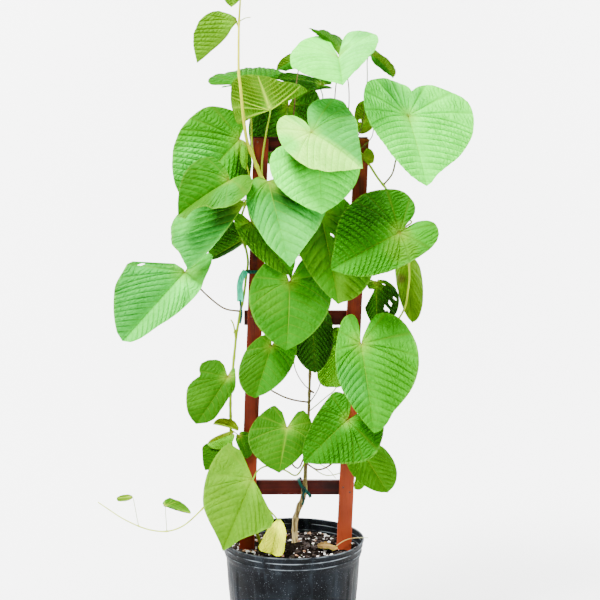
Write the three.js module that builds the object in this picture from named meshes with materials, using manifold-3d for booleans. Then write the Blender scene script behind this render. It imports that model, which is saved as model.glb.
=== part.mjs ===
// Potted elephant creeper on a ladder trellis. Millimetres, +Z up.
// The origin is the centre of the pot's base on the surface it stands on. The front is toward -Y.
import * as THREE from "three";
import { mergeVertices } from "three/addons/utils/BufferGeometryUtils.js";
import Module from "manifold-3d";

const wasm = await Module();
wasm.setup();

// Pot, a ten-inch nursery size
const rimRadius = 127;
const potHeight = 235;
const wall = 1.8;
const baseRadius = 102;
const stepHeight = 207;
const panels = 12;
const panelDepth = 1.2;
const panelTop = 188;
const panelFoot = 14;
const panelColumns = 3;

// Soil
const soilEdge = 211;
const soilMound = 9;
const soilFloor = 2.2;
const stemHoleGap = 0.8;
const grainCount = 12;

// Ladder trellis, laths of one by half an inch
const lathWidth = 26;
const lathDepth = 12;
const lathChamfer = 1.2;
const stileFront = -4;
const stileFoot = 45;
const stileTop = 943;
const lean = 0.0388;
const stileMidAtSoil = { left: -83, right: 91 };
const soilLevel = 213;
const rungLength = 205;
const rungLeftEnd = -110.6;
const rungHeights = { rung_bottom: 323, rung_middle: 629, rung_top: 933 };

const gap = 0.3;
const sliver = 0.04;
const bladeThickness = 0.8;
const fineLeafLength = 95;
const petioleBend = 9;
const petioleBite = 2;
const petioleStep = 26;

const random = (() => {
  let state = 20417;
  return () => {
    state = (state * 48271) % 2147483647;
    return state / 2147483647;
  };
})();

const finish = (color, roughness) =>
  new THREE.MeshStandardMaterial({ color, roughness, metalness: 0 });
const finishes = {
  pot: finish(0x15191b, 0.5),
  soil: finish(0x1d1612, 0.95),
  lath: finish(0x8e3018, 0.6),
  rung: finish(0x54180f, 0.6),
  tape: finish(0x0d6a58, 0.35),
  bark: finish(0x9a8050, 0.8),
  green_stem: finish(0x8fa83c, 0.6),
  shoot: finish(0xc6dc46, 0.5),
  dry: finish(0xc89a5c, 0.8),
  pale: finish(0xb9e0a4, 0.5),
  mid: finish(0x5fae3c, 0.5),
  deep: finish(0x2f6e16, 0.5),
  lime: finish(0x9bd42c, 0.5),
  yellow: finish(0xe8ec7c, 0.55),
};

const vec = (p) => new THREE.Vector3(p[0], p[1], p[2]);

// A closed geometry as a solid, with its faces turned outward.
function solidOf(geometry) {
  const bare = geometry.clone();
  bare.deleteAttribute("normal");
  bare.deleteAttribute("uv");
  const merged = mergeVertices(bare, 1e-4);
  const build = (triVerts) =>
    new wasm.Manifold(
      new wasm.Mesh({ numProp: 3, vertProperties: merged.attributes.position.array, triVerts }),
    );
  const faces = new Uint32Array(merged.index.array);
  const solid = build(faces);
  if (solid.volume() > 0) return solid;
  for (let i = 0; i < faces.length; i += 3) {
    [faces[i + 1], faces[i + 2]] = [faces[i + 2], faces[i + 1]];
  }
  return build(faces);
}

// The largest body of a solid as a named mesh; crumbs that a cut leaves are dropped.
function piece(name, solid, material) {
  const bodies = solid.asOriginal().simplify(sliver).decompose().sort((a, b) => b.volume() - a.volume());
  const mesh = bodies[0].getMesh();
  const geometry = new THREE.BufferGeometry()
    .setAttribute("position", new THREE.BufferAttribute(new Float32Array(mesh.vertProperties), 3))
    .setIndex(new THREE.BufferAttribute(new Uint32Array(mesh.triVerts), 1));
  geometry.computeVertexNormals();
  const part = new THREE.Mesh(geometry, material);
  part.name = name;
  return part;
}

// A geometry from a list of points and a list of corner triples.
function shell(points, corners) {
  return new THREE.BufferGeometry()
    .setAttribute("position", new THREE.Float32BufferAttribute(points.flatMap((p) => p.toArray()), 3))
    .setIndex(corners);
}

const curveThrough = (points) => new THREE.CatmullRomCurve3(points.map(vec), false, "centripetal");

// A round rod along a curve, whose radius is given for each share of its length.
function rod(curve, radiusAt, sides, steps) {
  const frames = curve.computeFrenetFrames(steps, false);
  const points = [];
  const corners = [];
  for (let i = 0; i <= steps; i++) {
    const middle = curve.getPointAt(i / steps);
    const radius = radiusAt(i / steps);
    for (let k = 0; k < sides; k++) {
      const angle = (2 * Math.PI * k) / sides;
      points.push(
        middle
          .clone()
          .addScaledVector(frames.normals[i], radius * Math.cos(angle))
          .addScaledVector(frames.binormals[i], radius * Math.sin(angle)),
      );
    }
  }
  for (let i = 0; i < steps; i++) {
    for (let k = 0; k < sides; k++) {
      const a = i * sides + k;
      const b = i * sides + ((k + 1) % sides);
      corners.push(a, b, b + sides, a, b + sides, a + sides);
    }
  }
  const last = steps * sides;
  for (let k = 1; k < sides - 1; k++) {
    corners.push(0, k + 1, k, last, last + k, last + k + 1);
  }
  return solidOf(shell(points, corners));
}

// Half of a heart-shaped blade's outline: [across, along] with 1 at the widest point and at the tip.
const heart = [
  [0.03, -0.1], [0.12, -0.28], [0.4, -0.33], [0.72, -0.2], [0.94, 0.02], [1, 0.29],
  [0.88, 0.55], [0.63, 0.76], [0.33, 0.905], [0.1, 0.968], [0, 1],
];
const widestAlong = 0.28;

// One side of the outline, with its own lobe reach, the notch opened by sinus, and the part toward the
// tip narrowed by slim.
function outline(side, lobe, sinus, slim, coarse) {
  const opening = [0.07, 0.13, 0.05];
  return heart
    .map(([across, along], i) => {
      const narrow = 1 - (slim * Math.max(0, along - widestAlong)) / (1 - widestAlong);
      return {
        across: side * (across + (opening[i] ?? 0) * sinus) * narrow,
        along: along < 0 ? along * lobe : along,
      };
    })
    .filter((_, i) => !coarse || i % 2 === 0);
}

// A blade from five named points: joint, tip, the widest points of its left and right halves seen
// from its upper side, and how far it arches. The midrib is a valley and each half is crowned.
function blade(leaf) {
  const joint = vec(leaf.joint);
  const midrib = vec(leaf.tip).sub(joint);
  const length = midrib.length();
  const middle = joint.clone().addScaledVector(midrib, widestAlong);
  const reach = { 1: vec(leaf.right).sub(middle), [-1]: vec(leaf.left).sub(middle) };
  const up = midrib.clone().cross(vec(leaf.right).sub(vec(leaf.left))).normalize();
  const arch = (leaf.arch ?? 0.06) * length;
  const crown = (leaf.crown ?? 0.05) * length;
  const ripple = 0.008 * length;
  const coarse = length < fineLeafLength;
  const rings = [0.5, 1];
  const slim = leaf.slim ?? [0, 0];
  const right = outline(1, leaf.lobes[1], leaf.sinus, slim[1], coarse);
  const left = outline(-1, leaf.lobes[0], leaf.sinus, slim[0], coarse);
  const rays = [...right, ...left.slice(0, -1).reverse()];
  const at = (across, along, wave) => {
    const side = across < 0 ? -1 : 1;
    const share = Math.abs(across);
    const lift = arch * 4 * Math.max(along, 0) * (1 - along) + crown * Math.sin(Math.PI * share) + wave;
    return joint
      .clone()
      .addScaledVector(midrib, along)
      .addScaledVector(reach[side], share)
      .addScaledVector(up, lift);
  };
  const middlePoints = [joint.clone()];
  rays.forEach((ray, k) => {
    rings.forEach((ring) => {
      const wave = ripple * ring * (k % 2 ? 1 : -1);
      middlePoints.push(at(ray.across * ring, ray.along * ring, wave));
    });
  });
  const index = (k, r) => 1 + k * rings.length + r;
  const corners = [];
  for (let k = 0; k < rays.length - 1; k++) {
    corners.push([0, index(k, 0), index(k + 1, 0)]);
    for (let r = 0; r < rings.length - 1; r++) {
      corners.push([index(k, r), index(k, r + 1), index(k + 1, r + 1)]);
      corners.push([index(k, r), index(k + 1, r + 1), index(k + 1, r)]);
    }
  }
  const border = [0];
  rings.forEach((_, r) => border.push(index(0, r)));
  for (let k = 1; k < rays.length; k++) border.push(index(k, rings.length - 1));
  for (let r = rings.length - 2; r >= 0; r--) border.push(index(rays.length - 1, r));
  return thicken(middlePoints, corners, border);
}

// A sheet of triangles grown to both sides along its own normals, alike on both faces.
function thicken(points, triples, border) {
  const normals = points.map(() => new THREE.Vector3());
  triples.forEach(([a, b, c]) => {
    const normal = points[b].clone().sub(points[a]).cross(points[c].clone().sub(points[a]));
    [a, b, c].forEach((i) => normals[i].add(normal));
  });
  normals.forEach((normal) => normal.setLength(bladeThickness / 2));
  const count = points.length;
  const all = [
    ...points.map((p, i) => p.clone().add(normals[i])),
    ...points.map((p, i) => p.clone().sub(normals[i])),
  ];
  const corners = [];
  triples.forEach(([a, b, c]) => corners.push(a, b, c, a + count, c + count, b + count));
  border.forEach((a, i) => {
    const b = border[(i + 1) % border.length];
    corners.push(b, a, a + count, b, a + count, b + count);
  });
  return solidOf(shell(all, corners));
}

// Stems: the points each one passes through, and its radius along its length.
const taper = (start, end) => (share) => start + (end - start) * share;
const mainRadius = (share) => {
  const bump = (middle, width) => Math.exp(-(((share - middle) / width) ** 2));
  return 2.6 + 2.6 * bump(0.05, 0.26) + 1.3 * bump(0.27, 0.018) + 0.9 * bump(0.3, 0.012);
};
const stems = {
  main_stem: {
    material: finishes.bark, radiusAt: mainRadius, sides: 8, steps: 36,
    points: [
      [2, 20, 130], [3, 19, 222], [3, 17, 243], [4, 14, 262], [11, 8, 288], [18, 2, 307], [21, 0, 326],
      [22, 0, 348], [23, 2, 370], [26, 3, 429], [28, 4, 462], [29, 4, 501], [30, 4, 537], [28, 0, 582],
      [21, -1, 631], [9, -6, 671], [-8, -8, 715], [-24, -6, 768], [-36, -6, 820], [-46, -8, 854],
    ],
  },
  left_stem: {
    material: finishes.green_stem, radiusAt: taper(2.9, 2), sides: 6, steps: 30,
    points: [
      [-50, -12, 150], [-55, -14, 216], [-64, -16, 247], [-81, -18, 299], [-99, -16, 361], [-109, -10, 410],
      [-110, -7, 449], [-110, -6, 489], [-105, -6, 546], [-102, -6, 574], [-99, -7, 601], [-96, -8, 619],
      [-92, -9, 642], [-87, -9.5, 663], [-83, -9.5, 689], [-81, -9.5, 707], [-78, -9.5, 729],
      [-81, -9, 750], [-87, -8, 768], [-90, -10, 803], [-79, -14, 834], [-62, -18, 858],
    ],
  },
  top_shoot: {
    material: finishes.shoot, radiusAt: taper(3.2, 1.1), sides: 6, steps: 20,
    points: [
      [-45, -7.8, 851], [-50, -11, 866], [-58, -16, 885], [-66, -23, 906], [-73, -30, 923],
      [-78, -39, 940], [-83, -58, 981],
      [-85, -66, 1006], [-87, -74, 1030], [-89, -78, 1047], [-89, -82, 1095], [-88, -82, 1136],
      [-86, -80, 1169], [-85, -76, 1201], [-83, -72, 1231],
    ],
  },
  right_stem: {
    material: finishes.green_stem, radiusAt: taper(2.4, 1.7), sides: 6, steps: 26,
    points: [
      [-40, -6.8, 834], [-34, -11, 852], [-18, -12, 874], [13, -10, 896], [73, -9, 920],
      [102, -9, 923], [119, -9, 916], [130, -9.5, 901],
      [147, -10, 875], [163, -9, 854], [181, -8, 816], [197, -8, 768], [202, -8, 728], [203, -8, 698],
      [201, -8, 680], [198, -8, 657], [193, -8, 643], [182, -10, 626], [159, -13, 605], [138, -20, 590],
    ],
  },
  trailing_shoot: {
    material: finishes.shoot, radiusAt: taper(1.7, 0.9), sides: 5, steps: 22,
    points: [
      [-98, -16.5, 357], [-108, -20, 350], [-118, -24, 342], [-139, -34, 319], [-156, -40, 301],
      [-166, -43, 291],
      [-192, -50, 270], [-218, -55, 262], [-245, -60, 265], [-269, -64, 274], [-296, -68, 289],
      [-320, -70, 306], [-337, -70, 318],
    ],
  },
};
for (const stem of Object.values(stems)) {
  stem.curve = curveThrough(stem.points);
  stem.solid = rod(stem.curve, stem.radiusAt, stem.sides, stem.steps);
  stem.clear = rod(stem.curve, (share) => stem.radiusAt(share) + gap, stem.sides, stem.steps);
}

// Leaves, from the top down. joint is where the petiole meets the blade, from is the stem that carries
// it and the share of that stem's length where the petiole starts.
const leaves = [
  {
    name: "leaf_shoot_young", tint: "lime", from: ["top_shoot", 0.73], lobes: [0.4, 0.4], sinus: 0.5,
    joint: [-96, -77, 1137], tip: [-157, -95, 1065], left: [-138, -92, 1136], right: [-117, -45, 1112],
    crown: 0.02,
  },
  {
    name: "leaf_crown_level", tint: "mid", from: ["top_shoot", 0.12], lobes: [1.6, 1.6], sinus: 0.3,
    joint: [-86, 10, 1036], tip: [-2, 62, 1050], left: [-36, -5, 1037], right: [-99, 60, 1060],
    via: [[-70, -14, 930], [-72, -6, 980]],
  },
  {
    name: "leaf_crown_underside", tint: "lime", from: ["top_shoot", 0.06], lobes: [1.3, 0.2], sinus: 0.4,
    joint: [-38, -40, 990], tip: [-58, -66, 1047], left: [-100, -44, 1002], right: [18, -50, 1022],
    via: [[-53, -17, 899], [-50, -24, 923], [-44, -34, 957]],
  },
  {
    name: "leaf_crown_behind", tint: "deep", from: ["main_stem", 0.9], lobes: [1, 1], sinus: 0.3,
    joint: [-8, 36, 1000], tip: [-41, 62, 897], left: [-76, 45, 979], right: [44, 52, 975],
    via: [[-18, 27, 930], [-10, 28, 985]],
  },
  {
    name: "leaf_upper_left", tint: "mid", from: ["left_stem", 0.99], lobes: [0.6, 0.2], sinus: 0.3,
    joint: [-91, -16, 942], tip: [-193, -30, 841], left: [-181, -45, 972], right: [-98, -8, 852],
    via: [[-80, -22, 900]],
  },
  {
    name: "leaf_left_cupped", tint: "mid", from: ["left_stem", 0.97], lobes: [0.5, 1.2], sinus: 0.4,
    joint: [-107, -60, 872], tip: [-194, -98, 812], left: [-170, -76, 896], right: [-123, -112, 829],
    via: [[-84, -34, 862]],
  },
  {
    name: "leaf_shoot_small", tint: "lime", from: ["top_shoot", 0.2], lobes: [0.3, 0.3], sinus: 0.3,
    joint: [-82, -46, 936], tip: [-80, -36, 889], left: [-95, -40, 909], right: [-72, -38, 918],
    small: true,
  },
  {
    name: "leaf_left_hanging", tint: "pale", from: ["left_stem", 0.94], lobes: [0.3, 0.3], sinus: 0.3,
    joint: [-81, -44, 833], tip: [-177, -74, 721], left: [-194, -60, 813], right: [-134, -6, 792],
    via: [[-82, -28, 838]],
    slim: [0, 0.2],
  },
  {
    name: "leaf_left_shade", tint: "deep", from: ["left_stem", 0.84], lobes: [0.6, 0.6], sinus: 0.3,
    joint: [-82, 16, 770], tip: [-146, 12, 733], left: [-128, 22, 790], right: [-108, 26, 746],
    small: true,
  },
  {
    name: "leaf_centre_ribbed", tint: "mid", from: ["left_stem", 0.86], lobes: [0.6, 0.6], sinus: 0.3,
    joint: [-72, -24, 800], tip: [-1, -44, 708], left: [-80, -34, 762], right: [-13, -36, 812],
  },
  {
    name: "leaf_centre_upper", tint: "pale", from: ["main_stem", 0.99], lobes: [0.15, 0.15], sinus: 0.3,
    joint: [-42, -56, 871], tip: [-4, -94, 728], left: [-72, -66, 829], right: [56, -76, 829],
    slim: [0, 0.15],
  },
  {
    name: "leaf_front_pale", tint: "pale", from: ["right_stem", 0.1], lobes: [1.4, 0.6], sinus: 0,
    joint: [31, -95, 952], tip: [115, -135, 893], left: [13, -158, 900], right: [94, -78, 986],
    via: [[8, -40, 940], [14, -70, 962]],
    slim: [0, 0.4],
  },
  {
    name: "leaf_front_mint", tint: "pale", from: ["right_stem", 0.17], lobes: [0.4, 0.4], sinus: 0.3,
    joint: [43, -60, 923], tip: [49, -106, 817], left: [-38, -84, 890], right: [113, -76, 896],
  },
  {
    name: "leaf_centre_right", tint: "mid", from: ["main_stem", 0.92], lobes: [0.8, 0.8], sinus: 0.3,
    joint: [47, -14, 817], tip: [78, -50, 660], left: [-1, -36, 776], right: [137, -24, 751],
  },
  {
    name: "leaf_right_broad", tint: "mid", from: ["right_stem", 0.56], lobes: [1, 1.4], sinus: 0.3,
    joint: [182, -46, 782], tip: [65, -84, 722], left: [111, -52, 845], right: [175, -92, 726],
    via: [[205, -26, 800], [195, -35, 793]],
  },
  {
    name: "leaf_right_top", tint: "pale", from: ["right_stem", 0.46], lobes: [1.25, 1.05], sinus: 0,
    joint: [198, -12, 981], tip: [228, -50, 862], left: [124, -40, 979], right: [306, -30, 970],
    via: [[172, -6, 882], [178, -3, 904], [190, -1, 944]],
  },
  {
    name: "leaf_top_pale", tint: "pale", from: ["right_stem", 0.2], lobes: [1.3, 1.3], sinus: 0.8,
    joint: [78, -10, 1081], tip: [82, -125, 1028], left: [-2, -50, 1078], right: [144, -44, 1102],
    via: [[66, -4, 960], [74, -2, 1030]],
  },
  {
    name: "leaf_top_edge", tint: "deep", from: ["right_stem", 0.26], lobes: [0.8, 0.8], sinus: 0.3,
    joint: [88, 50, 1094], tip: [28, 54, 1136], left: [72, 86, 1120], right: [60, 44, 1104],
    via: [[92, 2, 962], [97, 34, 1040]],
  },
  {
    name: "leaf_top_back_left", tint: "mid", from: ["right_stem", 0.07], lobes: [0.8, 0.8], sinus: 0.3,
    joint: [22, 20, 1087], tip: [-29, 36, 1062], left: [-5, 34, 1096], right: [6, 14, 1061],
    via: [[-2, -18, 955], [7, -19, 1040], [14, -2, 1076]],
    small: true,
  },
  {
    name: "leaf_top_shade", tint: "deep", from: ["right_stem", 0.15], lobes: [0.8, 0.8], sinus: 0.3,
    joint: [51, 22, 1036], tip: [-27, -8, 1044], left: [13, 34, 1050], right: [18, 4, 1024],
    via: [[44, -4, 960], [52, 14, 1015]],
  },
  {
    name: "leaf_top_back_right", tint: "deep", from: ["right_stem", 0.3], lobes: [0.5, 0.5], sinus: 0.3,
    joint: [136, 4, 1087], tip: [174, 14, 1047], left: [148, -4, 1061], right: [163, 22, 1078],
    via: [[116, -9, 955], [128, 0, 1040]],
    small: true,
  },
  {
    name: "leaf_left_far", tint: "pale", from: ["left_stem", 0.69], lobes: [-0.15, 1], sinus: 0.4,
    joint: [-185, -42, 715], tip: [-291, -68, 599], left: [-270, -66, 714], right: [-179, -58, 667],
    via: [[-118, -14, 648], [-144, -22, 668], [-167, -28, 692]],
  },
  {
    name: "leaf_left_low", tint: "mid", from: ["left_stem", 0.55], lobes: [1.2, 0], sinus: 0.5,
    joint: [-113, -26, 530], tip: [-168, -50, 451], left: [-180, -42, 520], right: [-99, -30, 504],
    slim: [0.2, 0],
  },
  {
    name: "leaf_centre_low_left", tint: "mid", from: ["main_stem", 0.478], lobes: [0.7, 0.7], sinus: 0.3,
    joint: [-37, -16, 584], tip: [-66, -36, 494], left: [-92, -26, 552], right: [2, -24, 555],
    via: [[0, -4, 485], [-23, -6, 494], [-44, -8, 510], [-42, -6, 550]],
  },
  {
    name: "leaf_centre_heart", tint: "mid", from: ["main_stem", 0.78], lobes: [1, 1], sinus: 0.9,
    joint: [-6, -32, 698], tip: [-11, -68, 582], left: [-76, -62, 669], right: [66, -24, 670],
  },
  {
    name: "leaf_centre_shade", tint: "deep", from: ["main_stem", 0.505], lobes: [0.6, 0.6], sinus: 0.3,
    joint: [34, -8, 640], tip: [39, -12, 534], left: [-3, 2, 600], right: [71, 0, 600],
    via: [[38, -3, 497], [20, -10, 513], [3, -10, 545], [5, -10, 590], [20, -10, 622]],
    small: true,
  },
  {
    name: "leaf_centre_lime", tint: "lime", from: ["main_stem", 0.475], lobes: [0.5, 0.5], sinus: 0.3,
    joint: [80, 17, 572], tip: [69, 15, 504], left: [43, 17, 536], right: [101, 16, 533],
    via: [[44, 9, 500], [60, 20, 545]],
    small: true,
  },
  {
    name: "leaf_centre_scrap", tint: "deep", from: ["main_stem", 0.455], lobes: [0.5, 0.5], sinus: 0.3,
    joint: [101, 29, 580], tip: [66, 29, 593], left: [83, 30, 610], right: [76, 30, 564],
    via: [[57, 4, 487], [76, 24, 500], [94, 27, 545]],
    small: true,
  },
  {
    name: "leaf_right_heart", tint: "mid", from: ["right_stem", 0.975], lobes: [1, 1], sinus: 0.6,
    joint: [118, -42, 590], tip: [139, -88, 443], left: [71, -62, 558], right: [216, -68, 563],
    slim: [0, 0.25],
  },
  {
    name: "leaf_right_bitten", tint: "deep", from: ["main_stem", 0.86], lobes: [0.3, 0.3], sinus: 0.3,
    joint: [146, 8, 693], tip: [148, 6, 605], left: [118, 16, 653], right: [189, 10, 657],
    via: [[40, -5, 728], [104, -9, 703], [132, -8, 696]],
    small: true,
  },
  {
    name: "leaf_right_narrow", tint: "mid", from: ["right_stem", 0.67], lobes: [0.4, 0.4], sinus: 0.3,
    joint: [197, 12, 735], tip: [210, 2, 621], left: [182, 18, 699], right: [229, 10, 686],
    small: true,
  },
  {
    name: "leaf_right_low", tint: "mid", from: ["main_stem", 0.33], lobes: [1.2, 1.8], sinus: 0.3,
    joint: [95, -32, 454], tip: [19, -60, 385], left: [39, -34, 483], right: [115, -78, 394],
    via: [[45, -8, 360], [71, -12, 374], [92, -15, 412]],
    slim: [0.2, 0.2],
  },
  {
    name: "leaf_right_lowest", tint: "mid", from: ["main_stem", 0.375], lobes: [0.6, 0.6], sinus: 0.3,
    joint: [122, -12, 393], tip: [167, -30, 324], left: [104, -24, 356], right: [175, -12, 382],
    via: [[55, -3, 385], [97, -8, 400]],
    small: true,
  },
  {
    name: "leaf_right_lime_tip", tint: "lime", from: ["main_stem", 0.33], lobes: [0.4, 0.4], sinus: 0.3,
    joint: [124, 12, 350], tip: [111, 9, 320], left: [112, 11, 340], right: [130, 12, 330],
    via: [[60, 11, 345], [97, 12.5, 352]],
    small: true,
  },
  {
    name: "leaf_low_centre", tint: "lime", from: ["main_stem", 0.36], lobes: [1.3, 1], sinus: 1,
    joint: [-10, -32, 442], tip: [-24, -60, 367], left: [-78, -46, 429], right: [32, -30, 426],
    via: [[9, -6, 362], [-4, -9, 375], [-8, -16, 412]],
  },
  {
    name: "leaf_low_front", tint: "lime", from: ["main_stem", 0.335], lobes: [1.5, -0.2], sinus: 0.3,
    joint: [-69, -70, 359], tip: [-118, -128, 249], left: [-151, -96, 343], right: [-48, -106, 310],
    via: [[6, -9, 350], [-14, -20, 362], [-40, -36, 374], [-60, -52, 370]],
    slim: [0.3, 0],
  },
  {
    name: "leaf_yellow", tint: "yellow", from: ["left_stem", 0.2], lobes: [0.5, 0.5], sinus: 0.3,
    joint: [-24, -55, 284], tip: [-37, -102, 236], left: [-58, -84, 253], right: [-12, -78, 258],
    via: [[-50, -34, 300]],
  },
  {
    name: "leaf_low_left_shade", tint: "deep", from: ["left_stem", 0.35], lobes: [0.5, 0.5], sinus: 0.3,
    joint: [-101, -20, 392], tip: [-154, -36, 366], left: [-154, -26, 410], right: [-120, -20, 353],
    small: true,
  },
  {
    name: "leaf_low_pleated", tint: "lime", from: ["left_stem", 0.38], lobes: [0.3, 0.3], sinus: 0.3,
    joint: [-106, -21, 428], tip: [-150, -32, 412], left: [-125, -16, 426], right: [-121, -26, 403],
    small: true,
  },
  {
    name: "leaf_low_hooked", tint: "deep", from: ["left_stem", 0.43], lobes: [0.2, 0.2], sinus: 0.3,
    joint: [-97, -17, 433], tip: [-140, -26, 446], left: [-114, -18, 453], right: [-114, -24, 442],
    small: true,
  },
  {
    name: "leaf_low_dark", tint: "deep", from: ["left_stem", 0.4], lobes: [0.4, 0.4], sinus: 0.3,
    joint: [-95, -18, 424], tip: [-80, -10, 381], left: [-97, -13, 403], right: [-73, -9, 416],
    small: true,
  },
  {
    name: "leaf_small_holed", tint: "deep", from: ["right_stem", 0.33], lobes: [0.5, 0.5], sinus: 0.3,
    joint: [141, 8, 978], tip: [108, 2, 961], left: [116, 6, 1006], right: [127, 8, 953],
    via: [[136, -9, 945]],
    small: true,
  },
  {
    name: "leaf_small_dark", tint: "deep", from: ["right_stem", 0.31], lobes: [0.3, 0.3], sinus: 0.3,
    joint: [121, -18, 912], tip: [140, -16, 904], left: [128, -15, 901], right: [133, -14, 925],
    small: true,
  },
];

// The petiole leaves its stem, passes its via points if it has any, comes to the joint from behind the
// blade and ends a little way along the midrib.
function petiole(leaf) {
  const midrib = vec(leaf.tip).sub(vec(leaf.joint)).normalize();
  const up = midrib.clone().cross(vec(leaf.right).sub(vec(leaf.left))).normalize();
  const end = vec(leaf.joint).addScaledVector(midrib, petioleBite);
  const start = stems[leaf.from[0]].curve.getPointAt(leaf.from[1]);
  const span = start.distanceTo(end);
  const ease = leaf.via ? petioleBend : Math.min(span / 3, 4 * petioleBend);
  const arrive = end.clone().addScaledVector(midrib, -0.25 * ease).addScaledVector(up, -ease);
  const route = leaf.via
    ? new THREE.CatmullRomCurve3([start, ...leaf.via.map(vec), arrive, end], false, "centripetal")
    : new THREE.CubicBezierCurve3(start, start.clone().lerp(end, 0.3), arrive, end);
  const thick = leaf.small ? 0.9 : 1.4;
  const steps = Math.max(4, Math.round(route.getLength() / petioleStep));
  return rod(route, taper(thick * 1.15, thick), 4, steps);
}

function leafSolid(leaf) {
  const stem = stems[leaf.from[0]];
  return blade(leaf).add(petiole(leaf)).subtract(stem.clear);
}

// Pot
function potSolid() {
  const outer = [
    [0, 0], [baseRadius - 5, 0], [baseRadius, 4], [103.4, panelFoot], [110, 90], [116.2, 150],
    [118, panelTop - 8], [118.6, panelTop], [119.5, stepHeight - 4], [121.5, stepHeight],
    [122, 212], [124, 215], [rimRadius - 1, potHeight - 6], [rimRadius, potHeight - 2],
    [rimRadius - 1, potHeight],
  ];
  const inner = [
    [rimRadius - 3, potHeight], [rimRadius - 4, 216], [119, stepHeight], [117.5, stepHeight - 6],
    [99.6, 4], [98, wall], [0, wall],
  ];
  const profile = [...outer, ...inner].map(([r, z]) => new THREE.Vector2(r, z));
  const columns = panels * panelColumns;
  const lathe = new THREE.LatheGeometry(profile, columns).rotateX(Math.PI / 2);
  const place = lathe.attributes.position;
  for (let i = 0; i < place.count; i++) {
    const radius = Math.hypot(place.getX(i), place.getY(i));
    const height = place.getZ(i);
    const turn = (Math.atan2(place.getY(i), place.getX(i)) / (2 * Math.PI)) * panels;
    const offRidge = Math.abs(turn - Math.round(turn)) > 0.1;
    const onWall = height > panelFoot - 1 && height < panelTop - 7 && radius > 103;
    const outside = radius > innerRadius(height) + wall / 2;
    if (onWall && outside && offRidge) {
      const shrink = (radius - panelDepth) / radius;
      place.setX(i, place.getX(i) * shrink);
      place.setY(i, place.getY(i) * shrink);
    }
  }
  return solidOf(lathe);
}

// Radius of the pot's inner wall at a height.
function innerRadius(height) {
  const steps = [[wall, 98], [4, 99.6], [201, 117.5], [207, 119], [216, 123], [235, 124]];
  const i = Math.max(1, steps.findIndex(([z]) => z >= height));
  const [z0, r0] = steps[i - 1];
  const [z1, r1] = steps[i];
  return r0 + ((r1 - r0) * (height - z0)) / (z1 - z0);
}

const mound = (x, y) => soilEdge + soilMound * Math.exp(-((x * x + y * y) / 70 ** 2));

// Soil, with a hole for each stem and stile, and grains that stand out of its top.
function soilSolid(holes) {
  const profile = [
    [0, soilFloor], [97, soilFloor], [98.4, 5], [innerRadius(100) - 0.9, 100],
    [innerRadius(199) - 0.9, 199], [innerRadius(206) - 1, 206], [innerRadius(soilEdge) - 1.4, soilEdge - 1],
    [108, soilEdge + 1], [84, soilEdge], [60, soilEdge + 2], [34, soilEdge], [0, soilEdge],
  ].map(([r, z]) => new THREE.Vector2(r, z));
  const lathe = new THREE.LatheGeometry(profile, 24).rotateX(Math.PI / 2);
  const place = lathe.attributes.position;
  for (let i = 0; i < place.count; i++) {
    const [x, y, z] = [place.getX(i), place.getY(i), place.getZ(i)];
    const spread = Math.hypot(x, y);
    if (z >= soilEdge && spread < 110) {
      const lumps = 1.4 * Math.sin(x / 9 + 1) * Math.cos(y / 11) + 0.9 * Math.sin((x + y) / 6);
      place.setZ(i, z + mound(x, y) - soilEdge + lumps);
    }
  }
  let soil = solidOf(lathe);
  for (let i = 0; i < grainCount; i++) {
    const turn = 2 * Math.PI * random();
    const spread = 25 + 78 * Math.sqrt(random());
    const size = 2.4 + 2.2 * random();
    const [x, y] = [spread * Math.cos(turn), spread * Math.sin(turn)];
    const grain = new THREE.OctahedronGeometry(size).rotateZ(turn).translate(x, y, mound(x, y) + 0.8);
    soil = soil.add(solidOf(grain));
  }
  return holes.reduce((body, hole) => body.subtract(hole), soil);
}

// A lath of the given length along Z, with its long edges chamfered.
function lath(width, depth, length, chamfer) {
  const [w, d] = [width / 2, depth / 2];
  const section = new THREE.Shape();
  section.moveTo(-w + chamfer, -d);
  section.lineTo(w - chamfer, -d);
  section.lineTo(w, -d + chamfer);
  section.lineTo(w, d - chamfer);
  section.lineTo(w - chamfer, d);
  section.lineTo(-w + chamfer, d);
  section.lineTo(-w, d - chamfer);
  section.lineTo(-w, -d + chamfer);
  section.closePath();
  return new THREE.ExtrudeGeometry(section, { depth: length, bevelEnabled: false });
}

// A stile, or with room the hole that it stands in.
function stile(side, room) {
  const length = (stileTop - stileFoot) / Math.cos(Math.atan(lean));
  const foot = stileMidAtSoil[side] - lean * (soilLevel - stileFoot);
  return lath(lathWidth + 2 * room, lathDepth + 2 * room, length, lathChamfer)
    .rotateY(Math.atan(lean))
    .translate(foot, stileFront + lathDepth / 2, stileFoot - room);
}

function rung(height) {
  const left = rungLeftEnd + lean * (height - soilLevel) + 8.3;
  return lath(lathWidth, lathDepth, rungLength, lathChamfer)
    .rotateY(Math.PI / 2)
    .translate(left, stileFront + 1.5 * lathDepth + gap, height);
}

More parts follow.
